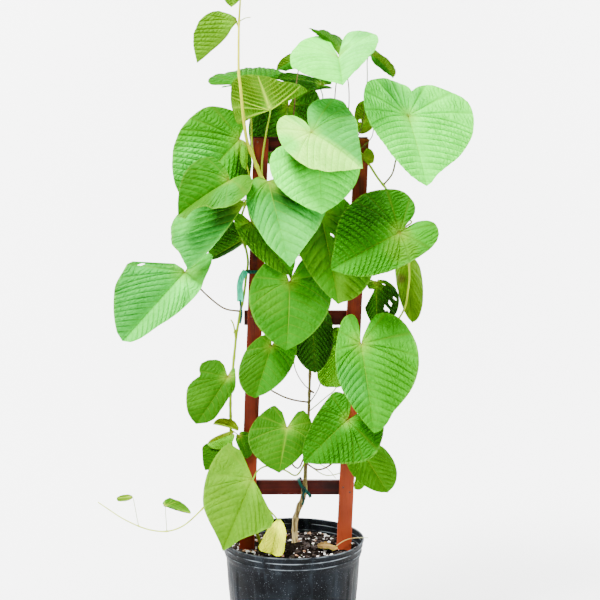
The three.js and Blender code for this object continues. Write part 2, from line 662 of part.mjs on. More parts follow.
// Flat tape along a closed loop of points: the section's half width is taken along across.
function tape(points, across, halfWidth, thickness, closed) {
  const curve = new THREE.CatmullRomCurve3(points.map(vec), closed, "centripetal");
  const steps = points.length * 3;
  const rows = closed ? steps : steps + 1;
  const side = vec(across).normalize();
  const ring = [];
  for (let i = 0; i < rows; i++) {
    const middle = curve.getPointAt(i / steps);
    const along = curve.getTangentAt(i / steps);
    const flat = side.clone().addScaledVector(along, -side.dot(along)).normalize();
    const out = along.clone().cross(flat).normalize();
    for (const [f, o] of [[1, 1], [-1, 1], [-1, -1], [1, -1]]) {
      ring.push(
        middle
          .clone()
          .addScaledVector(flat, f * halfWidth)
          .addScaledVector(out, (o * thickness) / 2),
      );
    }
  }
  const corners = [];
  const spans = closed ? rows : rows - 1;
  for (let i = 0; i < spans; i++) {
    for (let k = 0; k < 4; k++) {
      const a = i * 4 + k;
      const b = i * 4 + ((k + 1) % 4);
      const c = ((i + 1) % rows) * 4 + k;
      const d = ((i + 1) % rows) * 4 + ((k + 1) % 4);
      corners.push(a, b, d, a, d, c);
    }
  }
  if (!closed) {
    const end = (rows - 1) * 4;
    corners.push(0, 2, 1, 0, 3, 2, end, end + 1, end + 2, end, end + 2, end + 3);
  }
  return solidOf(shell(ring, corners));
}

// Young leaves, buds and cut stubs that belong to the shoot they grow on.
const shootLeaves = [
  {
    from: ["top_shoot", 0.94], lobes: [0.6, 0.6], sinus: 0.3, small: true,
    joint: [-93, -84, 1210], tip: [-100, -98, 1155], left: [-117, -92, 1190], right: [-76, -86, 1191],
  },
  {
    from: ["top_shoot", 0.99], lobes: [0.3, 0.3], sinus: 0.3, small: true,
    joint: [-82, -73, 1233], tip: [-77, -76, 1252], left: [-86, -75, 1242], right: [-76, -71, 1244],
  },
  {
    from: ["trailing_shoot", 0.55], lobes: [0.4, 0.4], sinus: 0.3, small: true,
    joint: [-223, -52, 306], tip: [-177, -56, 295], left: [-204, -46, 317], right: [-200, -60, 303],
  },
  {
    from: ["trailing_shoot", 0.72], lobes: [0.3, 0.3], sinus: 0.3, small: true,
    joint: [-279, -62, 325], tip: [-305, -66, 324], left: [-292, -71, 321], right: [-293, -58, 329],
  },
];
const stubs = [
  { from: ["top_shoot", 0.755], points: [[-77, -84, 1139], [-69, -86, 1140]], radius: 0.9 },
  { from: ["main_stem", 0.345], points: [[62, -8, 361], [76, -7, 344]], radius: 0.8 },
];

// A dry leaf on the soil, with its stalk in front of the right stile and over the rim.
const dryLeaf = {
  lobes: [0.4, 0.4], sinus: 0.3, arch: 0.06, crown: -0.05,
  joint: [77, -18, 224], tip: [43, -14, 224], left: [58, -4, 225], right: [60, -33, 222],
};
const dryStalk = [
  [77, -18, 224], [84, -14, 228], [92, -12, 232], [101, -11, 235], [114, -10, 236.6], [134, -10, 236.8],
];
const dryStalkRadius = 0.9;

const creeper = new THREE.Group();
const add = (name, solid, material) => creeper.add(piece(name, solid, material));

const holes = [
  ...["main_stem", "left_stem"].map((name) => {
    const stem = stems[name];
    return rod(stem.curve, (share) => stem.radiusAt(share) + stemHoleGap, stem.sides, stem.steps);
  }),
  ...["left", "right"].map((side) => solidOf(stile(side, gap))),
];
add("pot", potSolid(), finishes.pot);
add("soil", soilSolid(holes), finishes.soil);
add("stile_left", solidOf(stile("left", 0)), finishes.lath);
add("stile_right", solidOf(stile("right", 0)), finishes.lath);
for (const [name, height] of Object.entries(rungHeights)) {
  add(name, solidOf(rung(height)), finishes.rung);
}

// Ties: one slants round the bottom rung and the main stem, one goes round the left stile and stem.
const lowerLoop = [
  [21, -5.6, 323], [14, -3, 331], [10, 4, 339], [10, 14, 339.5], [12, 21.6, 338], [16, 22.4, 331],
  [21, 22.4, 323], [26, 22.4, 315], [30, 21.6, 308], [31, 14, 306.5], [31, 4, 307], [28, -3, 315],
];
const leftLoop = [
  [-79, -12.5, 712], [-66, -8.8, 712], [-50, -5, 712], [-49.2, 2, 712], [-50, 8.8, 712],
  [-64, 8.8, 712], [-77, 8.6, 712], [-79.5, 2, 712], [-83.8, -6, 712], [-83.9, -11, 712],
];
const leftTail = [
  [-82, -12.4, 714], [-88, -14.6, 705], [-92, -15.8, 690], [-92, -15.5, 676], [-92, -15, 661],
];
const leftString = [
  [-92, -15.2, 664], [-91, -14.5, 652], [-89, -14, 642], [-90, -13.6, 632], [-92, -13, 622],
];
const stemsClear = Object.values(stems).map((stem) => stem.clear);
const cutClear = (solid) => stemsClear.reduce((body, stem) => body.subtract(stem), solid);
add("tie_lower", cutClear(tape(lowerLoop, [1, 0, 0.7], 2.6, 0.8, true)), finishes.tape);
add(
  "tie_left",
  cutClear(
    tape(leftLoop, [0, 0, 1], 3, 0.8, true)
      .add(tape(leftTail, [1, 0, 0], 6.5, 0.8, false))
      .add(tape(leftString, [1, 0, 0], 1.6, 0.8, false)),
  ),
  finishes.tape,
);

stems.top_shoot.solid = stems.top_shoot.solid.subtract(stems.main_stem.clear);
stems.right_stem.solid = stems.right_stem.solid.subtract(stems.main_stem.clear);
stems.trailing_shoot.solid = stems.trailing_shoot.solid.subtract(stems.left_stem.clear);
for (const leaf of shootLeaves) {
  const stem = stems[leaf.from[0]];
  stem.solid = stem.solid.add(blade(leaf)).add(petiole(leaf));
}
for (const stub of stubs) {
  const stem = stems[stub.from[0]];
  const start = stem.curve.getPointAt(stub.from[1]).toArray();
  const route = curveThrough([start, ...stub.points]);
  stem.solid = stem.solid.add(rod(route, taper(stub.radius, stub.radius), 5, 4));
}
for (const [name, stem] of Object.entries(stems)) {
  add(name, stem.solid, stem.material);
}
const stalk = rod(curveThrough(dryStalk), taper(dryStalkRadius, dryStalkRadius), 5, 10);
add("dry_leaf", blade(dryLeaf).add(stalk), finishes.dry);
for (const leaf of leaves) {
  add(leaf.name, leafSolid(leaf), finishes[leaf.tint]);
}

export default creeper;
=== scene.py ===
# Potted elephant creeper on a ladder trellis, dressed.
# The tables are in millimetres, as the plant was drawn, and every piece is made in metres.
import math
import random
from contextlib import contextmanager
from types import SimpleNamespace

import bmesh
import bpy
import numpy as np
from mathutils import Matrix, Vector, noise


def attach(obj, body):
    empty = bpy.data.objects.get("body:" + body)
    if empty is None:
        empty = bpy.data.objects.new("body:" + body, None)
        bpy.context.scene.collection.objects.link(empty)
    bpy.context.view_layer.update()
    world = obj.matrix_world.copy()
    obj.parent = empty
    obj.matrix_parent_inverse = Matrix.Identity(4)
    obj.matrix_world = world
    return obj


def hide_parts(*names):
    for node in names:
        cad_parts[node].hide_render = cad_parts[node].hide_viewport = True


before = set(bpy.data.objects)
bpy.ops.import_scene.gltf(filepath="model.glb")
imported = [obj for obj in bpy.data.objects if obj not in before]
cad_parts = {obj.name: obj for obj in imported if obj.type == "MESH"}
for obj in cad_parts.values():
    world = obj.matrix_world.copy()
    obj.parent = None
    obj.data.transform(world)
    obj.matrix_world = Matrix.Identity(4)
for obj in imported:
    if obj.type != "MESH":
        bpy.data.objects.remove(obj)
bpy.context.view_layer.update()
bpy.ops.object.select_all(action="DESELECT")
chance = random.Random(20417)
MM = 0.001

# Colours of leaves and stems, in linear light. mint_pale, mint and cream paint the sheen that light gives silky
# upper sides; deep and shade paint leaves in shade; backlit paints light shining through a blade.
GREENS = {
    "mint_pale": (0.095, 0.90, 0.035),
    "mint": (0.075, 0.66, 0.05),
    "sea": (0.034, 0.36, 0.034),
    "cream": (0.36, 0.92, 0.07),
    "fresh": (0.035, 0.27, 0.001),
    "leaf": (0.022, 0.17, 0.001),
    "grass": (0.022, 0.115, 0.001),
    "deep": (0.012, 0.066, 0.001),
    "shade": (0.0085, 0.040, 0.001),
    "lime": (0.090, 0.235, 0.0003),
    "spring": (0.045, 0.19, 0.001),
    "backlit": (0.15, 0.52, 0.001),
    "acid": (0.085, 0.20, 0.001),
    "lemon": (0.94, 0.94, 0.004),
    "tan": (0.45, 0.26, 0.08),
    "brown": (0.075, 0.042, 0.014),
    "olive": (0.075, 0.068, 0.014),
    "stalk": (0.20, 0.29, 0.002),
    "wine": (0.26, 0.13, 0.035),
}


def linear(shade):
    """A colour that is given in screen values, in linear light."""
    return tuple(c / 12.92 if c <= 0.04045 else ((c + 0.055) / 1.055) ** 2.4 for c in shade)


def blend(a, b, share):
    return tuple(p + (q - p) * share for p, q in zip(a, b))


def smooth(low, high, value):
    share = min(max((value - low) / (high - low), 0.0), 1.0)
    return share * share * (3 - 2 * share)


def bump(value, middle, width):
    """One at the middle, and next to nothing two widths away."""
    return math.exp(-(((value - middle) / width) ** 2))


# ---- finishes


class Paint:
    """A procedural finish: a shader and the nodes that feed it."""

    def __init__(self, name, **sockets):
        self.material = bpy.data.materials.new(name)
        self.material.use_nodes = True
        self.tree = self.material.node_tree
        self.shader = self.tree.nodes["Principled BSDF"]
        for socket, value in sockets.items():
            self.shader.inputs[socket.replace("_", " ")].default_value = value
        self.place = self.node("TexCoord").outputs["Object"]

    def node(self, kind, inputs=None, **settings):
        made = self.tree.nodes.new("ShaderNode" + kind)
        for setting, value in settings.items():
            setattr(made, setting, value)
        for socket, value in (inputs or {}).items():
            if isinstance(value, bpy.types.NodeSocket):
                self.tree.links.new(value, made.inputs[socket])
            else:
                made.inputs[socket].default_value = value
        return made

    def math(self, operation, a, b=0.0):
        return self.node("Math", {0: a, 1: b}, operation=operation).outputs[0]

    def times(self, a, b):
        return self.math("MULTIPLY", a, b)

    def plus(self, a, b):
        return self.math("ADD", a, b)

    def ripple(self, value):
        """A round ridge between every two whole values."""
        return self.math("ABSOLUTE", self.math("SINE", self.times(value, math.pi)))

    def noise(self, scale, detail=3.0, stretch=None):
        place = self.place
        if stretch:
            place = self.node("Mapping", {"Vector": place, "Scale": stretch}).outputs[0]
        return self.node("TexNoise", {"Vector": place, "Scale": scale, "Detail": detail}).outputs["Fac"]

    def tint(self):
        return self.node("Attribute", attribute_name="tint").outputs

    def height(self):
        return self.node("SeparateXYZ", {0: self.place}).outputs[2]

    def span(self, value, low, high, to_low=0.0, to_high=1.0):
        return self.node(
            "MapRange",
            {"Value": value, "From Min": low, "From Max": high, "To Min": to_low, "To Max": to_high},
            interpolation_type="SMOOTHSTEP",
        ).outputs[0]

    def mix(self, share, a, b, way="MIX"):
        a, b = (c if isinstance(c, bpy.types.NodeSocket) else (*c[:3], 1.0) for c in (a, b))
        made = self.node("Mix", {0: share, 6: a, 7: b}, data_type="RGBA", blend_type=way)
        return made.outputs[2]

    def feed(self, socket, value):
        self.tree.links.new(value, self.shader.inputs[socket])

    def skin(self, colour, roughness, height, depth, strength=1.0):
        """Feeds the shader: a colour, a roughness where it isn't None, and a relief of a depth in metres."""
        self.feed("Base Color", colour)
        if roughness is not None:
            self.feed("Roughness", roughness)
        bumps = self.node("Bump", {"Height": height, "Distance": depth, "Strength": strength})
        self.feed("Normal", bumps.outputs[0])
        return self.material


def leaf_face(name, under, ribbed=1.0):
    """A leaf's skin, with its side veins in creases, raised in relief and darkened with painted shade; ribbed
    is how strongly. The tint attribute holds its colour and, in alpha, how much of a vein it is. The vein map
    counts side veins along U and the way out from the midrib along V."""
    paint = Paint(name, Roughness=0.6, Specular_IOR_Level=0.03)
    tint = paint.tint()
    veins = paint.node("SeparateXYZ", {0: paint.node("UVMap", uv_map="veins").outputs[0]}).outputs
    between = paint.ripple(veins[0])
    blister = paint.ripple(paint.plus(paint.times(veins[1], 1.8), paint.times(paint.noise(85.0, 2.0), 2.2)))
    netted = paint.times(blister, between)
    fine, pucker, mottle = paint.noise(900.0), paint.noise(210.0), paint.noise(34.0, 4.0)
    colour = tint["Color"]
    if under:
        colour = paint.mix(0.2, colour, (0.20, 0.42, 0.01))
    # Mottle and speckle are its own tone; the last two paint shade in the creases by the side veins and in the
    # net.
    for value, low, high, at_low, at_high, by in (
        (mottle, 0.35, 0.7, 0.0, 0.45, (0.50, 0.66, 0.42)),
        (pucker, 0.4, 0.65, 0.0, 0.3, (0.55, 0.7, 0.5)),
        (between, 0.0, 0.42, 0.75 * ribbed, 0.0, (0.30, 0.50, 0.25)),
        (netted, 0.0, 0.3, 0.25 * ribbed, 0.0, (0.50, 0.66, 0.40)),
    ):
        colour = paint.mix(paint.span(value, low, high, at_low, at_high), colour, by, "MULTIPLY")
    vein_much, vein_green = (1.7, (0.38, 0.58, 0.015)) if under else (0.5, (0.27, 0.46, 0.012))
    colour = paint.mix(paint.times(tint["Alpha"], vein_much), colour, vein_green)
    outer = paint.span(veins[1], 0.3, 3.4, 0.35, 1.0)
    height = paint.plus(paint.times(netted, outer), paint.times(pucker, 0.7))
    return paint.skin(colour, paint.span(fine, 0.2, 0.8, 0.52, 0.68),
                      paint.plus(height, paint.times(fine, 0.1)), 0.0034 * ribbed)


def skin_finish():
    """Stems and stalks: the colour comes with the piece; streaks run along them."""
    paint = Paint("stem_skin", Specular_IOR_Level=0.06)
    streak = paint.noise(420.0, 4.0, (1.0, 1.0, 0.12))
    colour = paint.mix(paint.span(streak, 0.4, 0.65, 0.0, 0.35), paint.tint()["Color"], (0.5, 0.42, 0.3),
                       "MULTIPLY")
    return paint.skin(colour, paint.span(streak, 0.3, 0.7, 0.45, 0.65), streak, 0.0004, 0.5)


def bark_finish():
    """Main stem: the tint of its height, and split bark with pale spots."""
    paint = Paint("bark", Specular_IOR_Level=0.12)
    split = paint.noise(260.0, 6.0, (1.0, 1.0, 0.16))
    spot = paint.noise(700.0, 2.0)
    colour = paint.mix(paint.span(split, 0.42, 0.58, 0.8, 0.0), paint.tint()["Color"], (0.085, 0.05, 0.018))
    colour = paint.mix(paint.span(spot, 0.62, 0.7, 0.0, 0.4), colour, (0.55, 0.44, 0.22))
    return paint.skin(colour, paint.span(split, 0.3, 0.7, 0.9, 0.62), split, 0.002)


def pot_finish():
    """Black nursery plastic: a dusty blue bloom, specks, and patchy painted highlights along its three beads.
    """
    paint = Paint("pot_black", Specular_IOR_Level=0.035)
    dust = paint.noise(26.0, 5.0)
    streak = paint.noise(85.0, 4.0, (1.0, 1.0, 0.14))
    speck = paint.noise(560.0, 2.0)
    colour = paint.mix(paint.span(dust, 0.35, 0.72), (0.0018, 0.0023, 0.0030), (0.0065, 0.0086, 0.0112))
    colour = paint.mix(paint.span(streak, 0.52, 0.75, 0.0, 0.4), colour, (0.022, 0.030, 0.038))
    colour = paint.mix(paint.span(speck, 0.66, 0.74, 0.0, 0.5), colour, (0.16, 0.18, 0.20))
    patchy_highlight = paint.span(paint.noise(38.0, 5.0), 0.36, 0.62)
    height = paint.height()
    # Each of the three beads gets a thin pale line of painted highlight, patchy along its length.
    for level, reach, much in ((0.2133, 0.0008, 0.5), (0.2243, 0.0008, 0.75), (0.2342, 0.0009, 0.35)):
        near = paint.math("ABSOLUTE", paint.math("SUBTRACT", height, level))
        line = paint.times(paint.span(near, reach * 0.5, reach * 1.5, much, 0.0), patchy_highlight)
        colour = paint.mix(line, colour, (0.20, 0.235, 0.26))
    grain = paint.plus(paint.times(streak, 0.6), paint.times(speck, 0.4))
    return paint.skin(colour, paint.span(dust, 0.3, 0.75, 0.46, 0.62), grain, 0.0006, 0.35)


def mix_finish():
    """Potting mix: near black, with brown crumbs."""
    paint = Paint("potting_mix", Roughness=0.95, Specular_IOR_Level=0.0)
    crumbs = paint.noise(330.0, 5.0)
    lump = paint.noise(90.0, 4.0)
    colour = paint.mix(paint.span(crumbs, 0.35, 0.68), (0.0010, 0.0008, 0.0006), (0.0085, 0.0060, 0.0045))
    colour = paint.mix(paint.span(lump, 0.5, 0.7, 0.0, 0.5), colour, (0.009, 0.006, 0.0045))
    return paint.skin(colour, None, crumbs, 0.0025, 0.9)


def grain_finish(name, dark, light, scale, roughness):
    """A two-tone crumb, such as perlite or bark."""
    paint = Paint(name, Roughness=roughness, Specular_IOR_Level=0.2)
    spot = paint.noise(scale, 4.0)
    colour = paint.mix(paint.span(spot, 0.35, 0.65), linear(dark), linear(light))
    return paint.skin(colour, None, spot, 0.0008, 0.7)


def wood_finish(name, dark, mid, light, upright):
    """Stained lath: streaks and pores along the grain; on an upright one the colour is lighter low down."""
    paint = Paint(name, Specular_IOR_Level=0.07)
    along = (1.0, 1.0, 0.035) if upright else (0.035, 1.0, 1.0)
    grain = paint.noise(150.0, 6.0, along)
    pores = paint.noise(760.0, 3.0, along)
    colour = paint.mix(paint.span(grain, 0.35, 0.68), linear(dark), linear(mid))
    colour = paint.mix(paint.span(paint.noise(11.0, 4.0), 0.4, 0.7, 0.0, 0.6), colour, linear(light))
    if upright:
        colour = paint.mix(paint.span(paint.height(), 0.55, 0.24, 0.0, 0.7), colour, linear(light))
    colour = paint.mix(paint.span(pores, 0.6, 0.72, 0.0, 0.5), colour, linear(dark))
    return paint.skin(colour, paint.span(grain, 0.3, 0.7, 0.42, 0.62),
                      paint.plus(grain, paint.times(pores, 0.5)), 0.0006, 0.5)


def tape_finish(name, dark, light, roughness):
    """Stretchy tie tape, creased and a little cloudy."""
    paint = Paint(name, Specular_IOR_Level=0.12)
    crease = paint.noise(210.0, 3.0, (1.0, 1.0, 0.3))
    colour = paint.mix(paint.span(crease, 0.35, 0.65), linear(dark), linear(light))
    return paint.skin(colour, paint.span(crease, 0.3, 0.7, roughness, roughness + 0.18), crease, 0.0009, 0.6)


def sweep_finish():
    """The studio's pale floor and backdrop."""
    paint = Paint("pale_sweep", Roughness=0.9, Specular_IOR_Level=0.1)
    paint.feed("Base Color", paint.mix(paint.noise(1.3, 2.0), (0.93, 0.93, 0.93), (0.95, 0.95, 0.95)))
    return paint.material


SKINS = {"ribbed": leaf_face("leaf_upper", False), "silky": leaf_face("leaf_upper_silky", False, 0.66),
         "smooth": leaf_face("leaf_upper_smooth", False, 0.42)}
UNDER = leaf_face("leaf_under", True, 0.6)
SKIN = skin_finish()
BARK = bark_finish()
POT = pot_finish()
MIX = mix_finish()
PERLITE = grain_finish("perlite", (0.70, 0.67, 0.64), (0.97, 0.96, 0.94), 600.0, 0.85)
CRUMB = grain_finish("bark_crumb", (0.05, 0.036, 0.03), (0.17, 0.12, 0.09), 420.0, 0.9)
CHIP = grain_finish("bark_chip", (0.24, 0.15, 0.10), (0.62, 0.46, 0.34), 300.0, 0.85)
# The left stile's lath: the same stain, painted darker for the shade that it stands in.
LATH_PAINTED_SHADE = wood_finish("lath_dark", (0.13, 0.042, 0.025), (0.30, 0.09, 0.04), (0.44, 0.15, 0.07), True)
LATH = wood_finish("lath_red", (0.19, 0.06, 0.035), (0.40, 0.13, 0.06), (0.58, 0.24, 0.13), True)
RUNG = wood_finish("rung_red", (0.12, 0.03, 0.022), (0.24, 0.065, 0.045), (0.34, 0.10, 0.07), False)
NAIL = grain_finish("nail_head", (0.20, 0.09, 0.06), (0.38, 0.22, 0.16), 900.0, 0.5)
TAPE = tape_finish("tie_tape", (0.01, 0.14, 0.12), (0.04, 0.27, 0.23), 0.4)
TAIL = tape_finish("tie_tail", (0.0, 0.58, 0.44), (0.0, 0.77, 0.58), 0.5)


# ---- routes and sheets


class Route:
    """A smooth line through points in millimetres, walked by its share of length."""

    def __init__(self, points, closed=False):
        self.points = Route.through([Vector(p) for p in points], closed)
        self.marks = [0.0]
        for a, b in zip(self.points, self.points[1:]):
            self.marks.append(self.marks[-1] + (b - a).length)
        self.length = self.marks[-1]

    @staticmethod
    def through(knots, closed, per_span=16):
        """Points of a centripetal spline through the knots."""
        count = len(knots)
        out = []
        for s in range(count if closed else count - 1):
            b, c = knots[s], knots[(s + 1) % count]
            a = knots[s - 1] if s or closed else b * 2 - c
            d = knots[(s + 2) % count] if closed or s + 2 < count else c * 2 - b
            ab, bc, cd = ((q - p).length ** 0.5 for p, q in ((a, b), (b, c), (c, d)))
            leave = ((b - a) / ab - (c - a) / (ab + bc) + (c - b) / bc) * bc
            enter = ((c - b) / bc - (d - b) / (bc + cd) + (d - c) / cd) * bc
            for k in range(per_span):
                u = k / per_span
                out.append(b + leave * u + ((c - b) * 3 - leave * 2 - enter) * u * u
                           + ((b - c) * 2 + leave + enter) * u ** 3)
        out.append(knots[0 if closed else -1].copy())
        return out

    def at(self, share):
        want = min(max(share, 0.0), 1.0) * self.length
        i = int(np.searchsorted(self.marks, want, side="right")) - 1
        i = min(max(i, 0), len(self.points) - 2)
        reach = self.marks[i + 1] - self.marks[i]
        return self.points[i].lerp(self.points[i + 1], (want - self.marks[i]) / reach if reach else 0.0)

    def stations(self, steps):
        """Points along the route with the frame that each cross-section stands in."""
        spots = [self.at(s / steps) for s in range(steps + 1)]
        ways = [(spots[min(s + 1, steps)] - spots[max(s - 1, 0)]).normalized() for s in range(steps + 1)]
        side = ways[0].orthogonal().normalized()
        out = []
        for spot, way in zip(spots, ways):
            side = (side - way * side.dot(way)).normalized()
            out.append((spot, way, side, way.cross(side)))
        return out


def named(name):
    """The primitive that was just added, under its own name."""
    piece = bpy.context.object
    piece.name = piece.data.name = name
    return piece


def active(piece):
    bpy.ops.object.select_all(action="DESELECT")
    piece.select_set(True)
    bpy.context.view_layer.objects.active = piece


@contextmanager
def all_in_edit():
    """Edit mode on the active piece, with all of it selected."""
    bpy.ops.object.mode_set(mode="EDIT")
    bpy.ops.mesh.select_all(action="SELECT")
    yield
    bpy.ops.object.mode_set(mode="OBJECT")


def grid(name, across, along, place, tint=None, mark=None):
    """A grid whose corner (i, j) is put at place(i, j), with its own tint and vein map."""
    bpy.ops.mesh.primitive_grid_add(x_subdivisions=across, y_subdivisions=along, size=1)
    piece = named(name)
    mesh = piece.data
    flat = np.empty(len(mesh.vertices) * 3)
    mesh.vertices.foreach_get("co", flat)
    seats = [(round((x + 0.5) * across), round((y + 0.5) * along)) for x, y in flat.reshape(-1, 3)[:, :2]]
    mesh.vertices.foreach_set("co", np.array([place(i, j) for i, j in seats]).ravel() * MM)
    if tint:
        layer = mesh.color_attributes.new(name="tint", type="FLOAT_COLOR", domain="POINT")
        layer.data.foreach_set("color", np.array([tint(i, j) for i, j in seats]).ravel())
    layer = mesh.uv_layers[0]
    layer.name = "veins"
    marks = np.array([mark(i, j) if mark else (i / across, j / along) for i, j in seats])
    corners = np.empty(len(mesh.loops), dtype=np.int32)
    mesh.loops.foreach_get("vertex_index", corners)
    layer.data.foreach_set("uv", marks[corners].ravel())
    mesh.update()
    return piece


def weld(piece):
    active(piece)
    with all_in_edit():
        bpy.ops.mesh.remove_doubles(threshold=2e-6)
        bpy.ops.mesh.normals_make_consistent(inside=False)
    return piece


def join(pieces):
    bpy.ops.object.select_all(action="DESELECT")
    for piece in pieces:
        piece.select_set(True)
    bpy.context.view_layer.objects.active = pieces[0]
    if len(pieces) > 1:
        bpy.ops.object.join()
    return pieces[0]


def coated(piece, degrees, *finishes):
    """The piece in its finishes, smooth except where it turns by more than the degrees."""
    for finish in finishes:
        piece.data.materials.append(finish)
    active(piece)
    bpy.ops.object.shade_smooth_by_angle(angle=math.radians(degrees))
    return piece


def thicken(piece, thickness, under=0):
    active(piece)
    wall = piece.modifiers.new("thickness", "SOLIDIFY")
    wall.thickness = thickness * MM
    wall.offset = 0
    wall.material_offset = under
    bpy.ops.object.modifier_apply(modifier=wall.name)
    return piece


def rod(name, route, radius_at, sides, steps, finish, tint_at=None, rough=0.0):
    """A round stem along a route, closed at both ends. rough roughens its skin by a share of the radius."""
    stations = route.stations(steps)

    def place(i, j):
        s = min(max(j - 1, 0), steps)
        spot, way, side, over = stations[s]
        if j in (0, steps + 2):
            return spot
        turn = 2 * math.pi * (i % sides) / sides
        outward = side * math.cos(turn) + over * math.sin(turn)
        radius = radius_at(s / steps)
        if rough:
            radius *= 1 + rough * noise.noise((spot * 0.09) + outward * 1.4)
        return spot + outward * radius

    def tint(i, j):
        share = min(max(j - 1, 0), steps) / steps
        return (*(tint_at(share) if tint_at else GREENS["stalk"]), 0.0)

    return coated(weld(grid(name, sides, steps + 2, place, tint)), 60, finish)


def copies(model, seats):
    """A copy of the model for each seat, which moves its mesh there. The model itself goes."""
    made = []
    for seat in seats:
        copy = model.copy()
        copy.data = model.data.copy()
        copy.data.transform(seat)
        bpy.context.collection.objects.link(copy)
        made.append(copy)
    bpy.data.objects.remove(model, do_unlink=True)
    return made


def finished(piece, node, slot):
    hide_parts(node)
    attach(piece, "root")


# ---- stems


def taper(start, end):
    return lambda share: start + (end - start) * share


def knotted(base, knots, much=0.22, width=0.007):
    """A radius with a swelling at each share in knots, where a leaf stands or stood."""
    return lambda share: base(share) * (1 + sum(much * bump(share, k, width) for k in knots))


def main_radius(share):
    """The main stem's, thick at the foot, with the lumps of old leaf scars."""
    lumps = ((2.7, 0.05, 0.2), (1.4, 0.2, 0.01), (0.8, 0.178, 0.007), (1.1, 0.152, 0.009),
             (0.7, 0.115, 0.007), (0.5, 0.08, 0.006), (0.8, 0.29, 0.01))
    return sum((much * bump(share, middle, width) for much, middle, width in lumps), 2.5)


def tinted(first, *steps):
    """A tint along a stem: the first colour, which turns to each step's between its two shares."""
    def tint_at(share):
        colour = first
        for start, end, then in steps:
            colour = blend(colour, then, smooth(start, end, share))
        return colour
    return tint_at


STEMS = {
    "main_stem": {
        "slot": "woody_stem",
        "radius": knotted(main_radius, (0.36, 0.455, 0.505, 0.6, 0.7, 0.78, 0.86, 0.92)),
        "tint": tinted((0.64, 0.49, 0.22), (0.09, 0.19, (0.22, 0.165, 0.055)), (0.17, 0.25, GREENS["olive"]),
                       (0.42, 0.8, (0.10, 0.17, 0.012))),
        "sides": 16, "steps": 190, "rough": 0.16,
        "points": [
            (2, 20, 190), (3, 19, 222), (3, 17, 243), (4, 14, 262), (11, 8, 288), (18, 2, 307), (21, 0, 326),
            (22, 0, 348), (23, 2, 370), (26, 3, 429), (28, 4, 462), (29, 4, 501), (30, 4, 537), (28, 0, 582),
            (21, -1, 631), (9, -6, 671), (-8, -8, 715), (-24, -6, 768), (-36, -6, 820), (-46, -8, 854)],
    },
    "left_stem": {
        "slot": "green_stem",
        "radius": knotted(taper(2.9, 2.0), (0.2, 0.35, 0.38, 0.4, 0.43, 0.55, 0.69, 0.84)),
        "tint": tinted((0.15, 0.17, 0.01), (0.1, 0.4, (0.20, 0.31, 0.003)), (0.55, 0.8, (0.11, 0.21, 0.01))),
        "sides": 12, "steps": 150, "rough": 0.05,
        "points": [
            (-54, -14, 190), (-55, -14, 216), (-64, -16, 247), (-81, -18, 299), (-99, -16, 361),
            (-109, -10, 410), (-110, -7, 449), (-110, -6, 489), (-105, -6, 546), (-102, -6, 574),
            (-99, -7, 601), (-96, -8, 619), (-92, -9, 642), (-87, -9.5, 663), (-83, -9.5, 689),
            (-81, -9.5, 707), (-78, -9.5, 729), (-81, -9, 750), (-87, -8, 768), (-90, -10, 803),
            (-79, -14, 834), (-62, -18, 858)],
    },
    "top_shoot": {
        "slot": "young_shoot", "radius": knotted(taper(3.6, 1.2), (0.06, 0.12, 0.2, 0.755, 0.94), 0.3, 0.01),
        "tint": lambda share: blend((0.38, 0.43, 0.001), (0.64, 0.65, 0.004), share),
        "sides": 12, "steps": 110, "rough": 0.04,
        "points": [
            (-45, -7.8, 851), (-50, -11, 866), (-58, -16, 885), (-66, -23, 906), (-73, -30, 923),
            (-78, -39, 940), (-83, -58, 981), (-85, -66, 1006), (-87, -74, 1030), (-89, -78, 1047),
            (-89, -82, 1095), (-88, -82, 1136), (-86, -80, 1169), (-85, -76, 1201), (-83, -72, 1231)],
    },
    "right_stem": {
        "slot": "green_stem", "radius": knotted(taper(2.4, 1.7), (0.1, 0.2, 0.3, 0.46, 0.56, 0.67)),
        "tint": tinted((0.17, 0.27, 0.01), (0.3, 0.8, (0.34, 0.48, 0.012))),
        "sides": 12, "steps": 140, "rough": 0.05,
        "points": [
            (-40, -6.8, 834), (-34, -11, 852), (-18, -12, 874), (13, -10, 896), (73, -9, 920),
            (102, -9, 923), (119, -9, 916), (130, -9.5, 901), (147, -10, 875), (163, -9, 854),
            (181, -8, 816), (197, -8, 768), (202, -8, 728), (203, -8, 698), (201, -8, 680),
            (198, -8, 657), (193, -8, 643), (182, -10, 626), (159, -13, 605), (138, -20, 590)],
    },
    "trailing_shoot": {
        "slot": "young_shoot", "radius": knotted(taper(1.7, 0.9), (0.3, 0.55, 0.72), 0.3, 0.012),
        "tint": lambda share: blend((0.40, 0.55, 0.004), (0.60, 0.72, 0.03), share),
        "sides": 10, "steps": 110, "rough": 0.04,
        "points": [
            (-98, -16.5, 357), (-108, -20, 350), (-118, -24, 342), (-139, -34, 319), (-156, -40, 301),
            (-166, -43, 291), (-192, -50, 270), (-218, -55, 262), (-245, -60, 265), (-269, -64, 274),
            (-296, -68, 289), (-320, -70, 306), (-337, -70, 318)],
    },
}
# Leaf stalks start at shares of the full stems, which reach deeper into the soil than the drawn ones.
BURIED = {"main_stem": (2, 20, 130), "left_stem": (-50, -12, 150)}
for name, stem in STEMS.items():
    points = stem["points"]
    stem["route"] = Route(points)
    stem["whole"] = Route([BURIED[name], *points[1:]]) if name in BURIED else stem["route"]
# Short stubs of lost leaves: stem, share of it, the points that the stub passes, and its radius.
STUBS = (
    ("top_shoot", 0.755, [(-77, -84, 1139), (-69, -86, 1140)], 0.9),
    ("main_stem", 0.345, [(62, -8, 361), (76, -7, 344)], 0.8),
    ("left_stem", 0.62, [(-104, -14, 621), (-108, -17, 629)], 1.7),
    ("left_stem", 0.615, [(-101, -15, 612), (-103, -19, 606)], 1.5),
)


# ---- leaves

